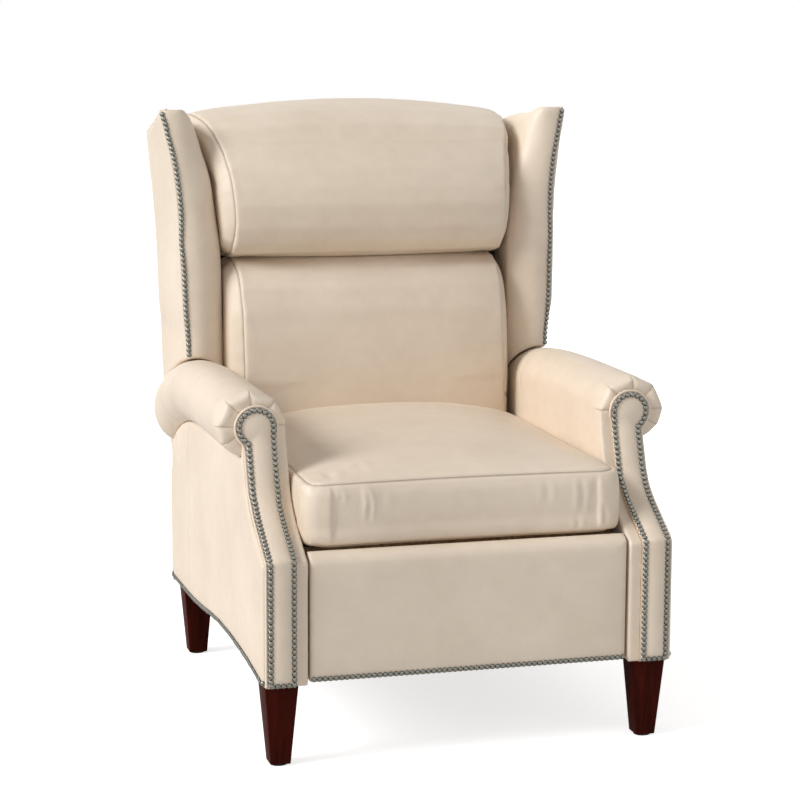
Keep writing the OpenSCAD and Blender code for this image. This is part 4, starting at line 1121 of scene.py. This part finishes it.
# %% Arm-front panels
SHAFT_X, SHAFT_HALF, HEAD_HALF = 349.5, 19, 27
fronts = {}
for name, side in SIDES.items():
    panel = copy_of("arm_front_cover_" + name, "arm_front_panel_" + name)
    skin(panel, 3, 1)
    co, nrm = points_of(panel), normals_of(panel)
    x, z = side * co[:, 0] * 1000, co[:, 2] * 1000
    shaft = np.clip(1 - ((x - SHAFT_X) / SHAFT_HALF) ** 2, 0, 1)
    scroll = np.clip(1 - (np.hypot(x - SCROLL_X, z - SCROLL_Z) / HEAD_HALF) ** 2, 0, 1)
    crown = np.where(z > SCROLL_Z, scroll, np.maximum(shaft * (z < 590), scroll))
    crown *= smooth_step(152, 172, z) * (nrm[:, 1] * 0.8 - nrm[:, 2] * 0.6 < -0.2)
    co += nrm * (crown ** 0.8 * 0.0045)[:, None]
    move_to(panel, co)
    beside = front_line(tree_of(panel), side, arm_outline(grow=5.3, foot=153))
    seam(panel, smooth_chain(beside, 2), depth=1.0, pull=0.8, width=2.2, reach=0.006)
    fronts[name] = panel
    into_place(panel, "base", ["arm_front_panel_" + name])

# %% [markdown]
# ## Wings
#
# Each wing is a padded board: flat outside, a fat rounded front edge, a hollow inner face and a small ear at
# the top. The nails follow the front edge, and just outside them the leather of the side panel is folded in.
# The cover is skinned over the wing and its hidden board together, so that no wood can show through, and is
# then shaped along tables of heights and widths, because its faces bend in two ways at once.

# %% Measures of a wing
WING_NAILS = (
    (418, 746, 1121), (413, 739, 1102), (409, 737, 1082), (405, 733, 1063), (400, 729, 1043), (396, 726, 1023),
    (393, 723, 1002), (391, 720, 981), (389, 719, 960), (388.5, 718, 939), (387, 716, 917), (387, 717, 866),
    (384, 710, 813), (382, 706, 745), (380, 703, 674), (379, 703, 643))
HOLLOW_Z = (0.93, 1.0, 1.02, 1.05, 1.08, 1.11, 1.13)
HOLLOW_X = (0.307, 0.3225, 0.327, 0.336, 0.3465, 0.361, 0.374)
TOP_EDGE_X = (0.31, 0.345, 0.36, 0.375, 0.39, 0.405, 0.42)
TOP_EDGE_LIFT = (0.016, 0.018, 0.014, 0.003, -0.006, -0.002, 0.001)
print("a wing's nail line has", len(WING_NAILS), "measured points")


# %% Shaping a wing
def shape_wing(piece, side):
    """Fills the wing over its board, evens its top edge, fattens its outer side, and gives the new heights."""
    co, nrm = points_of(piece), normals_of(piece)
    x, z = side * co[:, 0], co[:, 2]
    depth = co[:, 1] - cad_low.y
    past = np.clip(x - np.interp(z, HOLLOW_Z, HOLLOW_X), 0, None)
    x = x - smooth_step(0.90, 1.0, z) * past * (1 - smooth_step(0, 0.052, past))
    back = np.clip((depth - 0.745) / 0.225, 0, 1)
    lift = np.interp(x, TOP_EDGE_X, TOP_EDGE_LIFT) * (1 - 0.25 * back)
    z = z + lift * smooth_step(1.03, 1.1, z) * smooth_step(-0.6, 0.2, nrm[:, 2])
    outwards = smooth_step(0.0, 0.6, side * nrm[:, 0])
    x = x + (0.008 + 0.003 * side) * outwards * smooth_step(0.66, 0.74, z)
    co[:, 0], co[:, 2] = side * x, z
    move_to(piece, co)
    return z


def soften_wing(piece, heights):
    """Relaxes the whole wing a little, and its top much more."""
    top = piece.vertex_groups.new(name="top")
    for k in np.flatnonzero(heights > 1.0):
        top.add([int(k)], float(smooth_step(1.0, 1.08, heights[k])), "REPLACE")
    relax(piece, 8)
    relax(piece, 36, vertex_group="top")
    piece.vertex_groups.clear()


print("wings are filled from", HOLLOW_Z[0] * 1000, "mm up")


# %% Hidden boards of one wing
def boards_of(name, side):
    """The wing's own board and post, a hair larger, cut from the pair that the frame holds."""
    hidden = copy_of("wing_frame_" + name, "wing_boards", "wing_posts")
    co, nrm = points_of(hidden), normals_of(hidden)
    move_to(hidden, co + nrm * 0.0012)
    use_only(hidden)
    bpy.ops.object.mode_set(mode="EDIT")
    bpy.ops.mesh.select_all(action="SELECT")
    bpy.ops.mesh.bisect(plane_co=(0, 0, 0), plane_no=(-side, 0, 0), clear_outer=True, use_fill=False)
    bpy.ops.object.mode_set(mode="OBJECT")
    return hidden


print("boards are taken 1.2 mm larger")

# %% Wing covers
wings = {}
wing_lines = {}
for name, side in SIDES.items():
    wing = copy_of("wing_cover_" + name, "wing_" + name)
    join_onto(wing, boards_of(name, side))
    skin(wing, 3.6, 1)
    soften_wing(wing, shape_wing(wing, side))
    surface = tree_of(wing)
    measured = [at(side * (x + 1.9 - 0.7 * side), depth + 2, z) for x, depth, z in WING_NAILS]
    wing_lines[name] = [surface.find_nearest(p)[0] for p in measured]
    seam(wing, wing_lines[name], depth=0.55, pull=0.8, width=3, aside=6.5 * side, reach=0.010)
    wings[name] = wing
    into_place(wing, "back", ["wing_" + name])

# %% [markdown]
# ## Legrest panel
#
# The front panel is the legrest: a board with a thin flat pad, rounded over its top edge, nailed along its
# lower edge. Its skin is padded out like the sides', and its top is let down a little, so that the same thin
# dark line as in the photo stays between it and the seat cushion.

# %% Legrest cover
legrest_cover = skin(copy_of("legrest_cover", "legrest_pad"), 4, 2)
pad_out(legrest_cover, (0, -1, 0), 3.0, 45)
co = points_of(legrest_cover)
co[:, 2] -= 0.27 * np.clip(co[:, 2] - 0.36, 0, None)
move_to(legrest_cover, co)
into_place(legrest_cover, "legrest", ["legrest_pad"])

# %% [markdown]
# ## Nails
#
# A decorative nail is a domed head about 10 mm wide. Nails stand edge to edge in rows, so one head is
# modelled, half a ball pressed flatter, and a whole row is laid by walking along a line on the leather at
# the nails' pitch and standing a copy on the surface at every step.

# %% One nail head
PITCH, NAIL_RADIUS, NAIL_FLATNESS = 0.0100, 0.00505, 0.62
deselect()
bpy.ops.mesh.primitive_uv_sphere_add(segments=14, ring_count=8, radius=NAIL_RADIUS, location=(0, 0, 0))
nail_head = bpy.context.object
nail_head.name = "nail_head"
bpy.ops.object.mode_set(mode="EDIT")
bpy.ops.mesh.select_all(action="SELECT")
bpy.ops.mesh.bisect(plane_co=(0, 0, 0), plane_no=(0, 0, 1), clear_inner=True, use_fill=True)
bpy.ops.mesh.select_all(action="SELECT")
bpy.ops.transform.resize(value=(1, 1, NAIL_FLATNESS))
bpy.ops.object.mode_set(mode="OBJECT")
NAIL_POINTS = points_of(nail_head)
NAIL_FACES = [list(p.vertices) for p in nail_head.data.polygons]
bpy.data.objects.remove(nail_head)
print("a nail head has", len(NAIL_FACES), "faces")

# %% [markdown]
# A nail faces the way its leather does, averaged over its own width, and leans a trifle, because each is
# driven by hand. The lean comes from a sum on the nail's number, so it is the same in every render.

# %% Standing one nail
ROUND_A_NAIL = [Vector(v) * 0.004 for v in ((1, 0, 0), (-1, 0, 0), (0, 0, 1), (0, 0, -1), (0, -1, 0))]


def scatter(number, stir, size):
    """A repeatable number between minus a half and a half."""
    return (math.sin(number * stir) * size) % 1 - 0.5


def stand_nail(surface, spot, number, ahead):
    """The points of one nail head, stood on a surface; ahead turns it to the front and lifts it."""
    foot, facing, _, _ = surface.find_nearest(spot)
    ring = [surface.find_nearest(spot + aside)[1] for aside in ROUND_A_NAIL]
    facing = (facing + sum(ring, Vector()) * 0.4 + Vector((0, -3 * ahead, 0))).normalized()
    lean = Vector((scatter(number, 12.9898, 43758.5453), scatter(number, 78.233, 12543.123), 0)) * 0.10
    turn = (facing + lean).to_track_quat("Z", "Y").to_matrix()
    return NAIL_POINTS @ np.array(turn).T + np.array(foot + facing * (0.0002 + 0.0012 * ahead))


print("nails stand", PITCH * 1000, "mm apart")


# %% Rows of nails
def nail_row(name, body, cover, line, closed=False, ahead=0.0):
    """Stands a row of nail heads on a cover, along a line near its surface."""
    surface = tree_of(cover)
    spots = walk(line, PITCH)
    if closed:
        spots = spots[:-1]
    co = [stand_nail(surface, Vector(spot), k, ahead) for k, spot in enumerate(spots)]
    faces = [[v + k * len(NAIL_POINTS) for v in face] for k in range(len(spots)) for face in NAIL_FACES]
    rise = np.clip(NAIL_POINTS[:, 2] / NAIL_POINTS[:, 2].max(), 0, 1)
    mesh = bpy.data.meshes.new(name)
    mesh.from_pydata(np.vstack(co).tolist(), [], faces)
    mesh.attributes.new("rise", "FLOAT", "POINT").data.foreach_set("value", np.tile(rise, len(spots)))
    row = bpy.data.objects.new(name, mesh)
    bpy.context.collection.objects.link(row)
    into_place(row, body, slot="steel", finish=nail_pewter)
    print("   ", len(spots), "nails")


print("a row is one mesh of copied heads")

# %% [markdown]
# The rows: round each arm front (up the inner edge, over the scroll head, down the outer edge and along the
# foot), down each wing's front edge, along the arched lower edge of each side, and along the legrest. The
# arch is found by looking at the side from outside, from the floor upwards, until leather is met.


# %% Nail rows
def arch_line(surface, side):
    """A line just above the arched lower edge of an outside arm."""
    line = []
    for depth in range(12, 838, 6):
        for z in np.arange(150, 220, 1.0):
            hit = side_hit(surface, side, depth, z)
            if hit and abs(hit.x) > 0.378:
                line.append(side_hit(surface, side, depth, z + 7) or hit)
                break
    return line


for name, side in SIDES.items():
    foot_row = [(x, FRONT_FOOT) for x in np.arange(OUTER_X[0], INNER_X[0], -4)]
    ring = arm_outline() + foot_row + [(INNER_X[0], FRONT_FOOT)]
    front = fronts[name]
    nail_row("arm_front_nails_" + name, "base", front, front_line(tree_of(front), side, ring), closed=True)
    nail_row("wing_nails_" + name, "back", wings[name], wing_lines[name], ahead=1.2)
    nail_row("side_nails_" + name, "base", sides_out[name], arch_line(tree_of(sides_out[name]), side))
surface = tree_of(legrest_cover)
foot_line = [surface.find_nearest(at(x, 8, 161))[0] for x in range(-291, 292, 6)]
nail_row("legrest_nails", "legrest", legrest_cover, foot_line)

# %% [markdown]
# ## Welts
#
# A self welt is a thin cord rolled into a strip of the same leather and sewn between two covers. It could be
# lofted from circles, but a curve with a round bevel gives the same tube in one step. Here it is laid along
# the edge of each arm front and along the top outer edge of each wing.


# %% Welt
def welt(name, body, points, radius):
    """A leather-covered cord through the points, as a closed mesh tube."""
    points = walk(points, 0.006)
    line = bpy.data.curves.new(name, "CURVE")
    line.dimensions = "3D"
    line.bevel_depth = radius / 1000
    line.bevel_resolution = 3
    line.use_fill_caps = True
    spline = line.splines.new("POLY")
    spline.points.add(len(points) - 1)
    for k, p in enumerate(points):
        spline.points[k].co = (*p, 1)
    piece = bpy.data.objects.new(name, line)
    bpy.context.collection.objects.link(piece)
    use_only(piece)
    bpy.ops.object.convert(target="MESH")
    into_place(bpy.context.object, body)


def wing_ridge(wing, side):
    """The top outer edge of a wing: at every depth, the point that lies furthest up and out."""
    co = points_of(wing)
    depth = (co[:, 1] - cad_low.y) * 1000
    line = []
    for d in np.arange(748, 962, 6):
        some = co[(np.abs(depth - d) < 3.5) & (co[:, 2] > 1.03)]
        if len(some):
            line.append(some[(some[:, 0] * side * 0.75 + some[:, 2]).argmax()])
    return line


for name, side in SIDES.items():
    edge = front_line(tree_of(fronts[name]), side, arm_outline(grow=7.7, foot=153.5))
    edge = [p + Vector((0, 0.0008, 0)) for p in edge]
    welt("arm_front_welt_" + name, "base", smooth_chain(edge, 3), radius=2.1)
    welt("wing_welt_" + name, "back", smooth_chain(wing_ridge(wings[name], side), 6), radius=2.6)

# %% [markdown]
# ## Legs
#
# Four square tapered legs. Each starts as a cube of the size that the frame's leg fills: its lower face is
# drawn in to the foot, as a joiner planes a taper, and its edges are broken with a fine bevel. Shading smooth
# by angle keeps the four faces flat and rounds only the bevel.

# %% Legs
TOP_WIDTH, FOOT_WIDTH = 61, 37
for place in ("front_left", "front_right", "rear_left", "rear_right"):
    low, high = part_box("leg_" + place)
    deselect()
    bpy.ops.mesh.primitive_cube_add(size=1, location=(low + high) / 2, scale=high - low)
    leg = bpy.context.object
    leg.name = "tapered_leg_" + place
    bpy.ops.object.transform_apply(location=True, rotation=True, scale=True)
    bpy.ops.object.mode_set(mode="EDIT")
    bpy.ops.mesh.select_all(action="DESELECT")
    bpy.ops.object.mode_set(mode="OBJECT")
    for face in leg.data.polygons:
        face.select = face.normal.z < -0.9
    bpy.ops.object.mode_set(mode="EDIT")
    bpy.ops.mesh.select_mode(type="FACE")
    foot_centre = ((low.x + high.x) / 2, (low.y + high.y) / 2, low.z)
    taper = FOOT_WIDTH / TOP_WIDTH
    bpy.ops.transform.resize(value=(taper, taper, 1), center_override=foot_centre)
    bpy.ops.mesh.select_all(action="SELECT")
    bpy.ops.mesh.bevel(offset=0.0022, segments=3, affect="EDGES")
    bpy.ops.object.mode_set(mode="OBJECT")
    into_place(leg, "base", ["leg_" + place], slot="mahogany")
    bpy.ops.object.shade_smooth_by_angle(angle=math.radians(30))

# %% [markdown]
# ## Deck cloth and inside back
#
# Under the seat cushion a black cloth lies over the springs, and a padded black cloth covers the springs of
# the back. Both are nearly hidden, but both are soft, so both are made: a sheet that dips between the
# spring lines, and a pad quilted between its rows. A cosine over the net gives both their waves.

# %% Deck and inside back
SPRING_PITCH, QUILT_PITCH = 0.096, 0.14
deck = skin(copy_of("spring_deck_cloth", "seat_deck"), 3.6, 0)
co = points_of(deck)
inside_rails = 1 - smooth_step(0.24, 0.27, np.abs(co[:, 0]))
co[:, 2] += 0.0006 * np.cos(co[:, 0] * 2 * np.pi / SPRING_PITCH) * inside_rails - 0.0006
move_to(deck, co)
into_place(deck, "seat", ["seat_deck"], slot="cloth")
quilt = skin(copy_of("inside_back_pad", "inside_back"), 6, 2)
co, nrm = points_of(quilt), normals_of(quilt)
rows = np.abs(np.cos(co[:, 2] * np.pi / QUILT_PITCH))
co += nrm * (0.0015 * rows - 0.0022)[:, None]
move_to(quilt, co)
into_place(quilt, "back", ["inside_back"], slot="cloth")

# %% Size and finish
low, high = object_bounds()
print("stands proud, mm:", [round((a - b) * 1000, 1) for a, b in zip(cad_low, low)],
      [round((b - a) * 1000, 1) for a, b in zip(cad_high, high)])
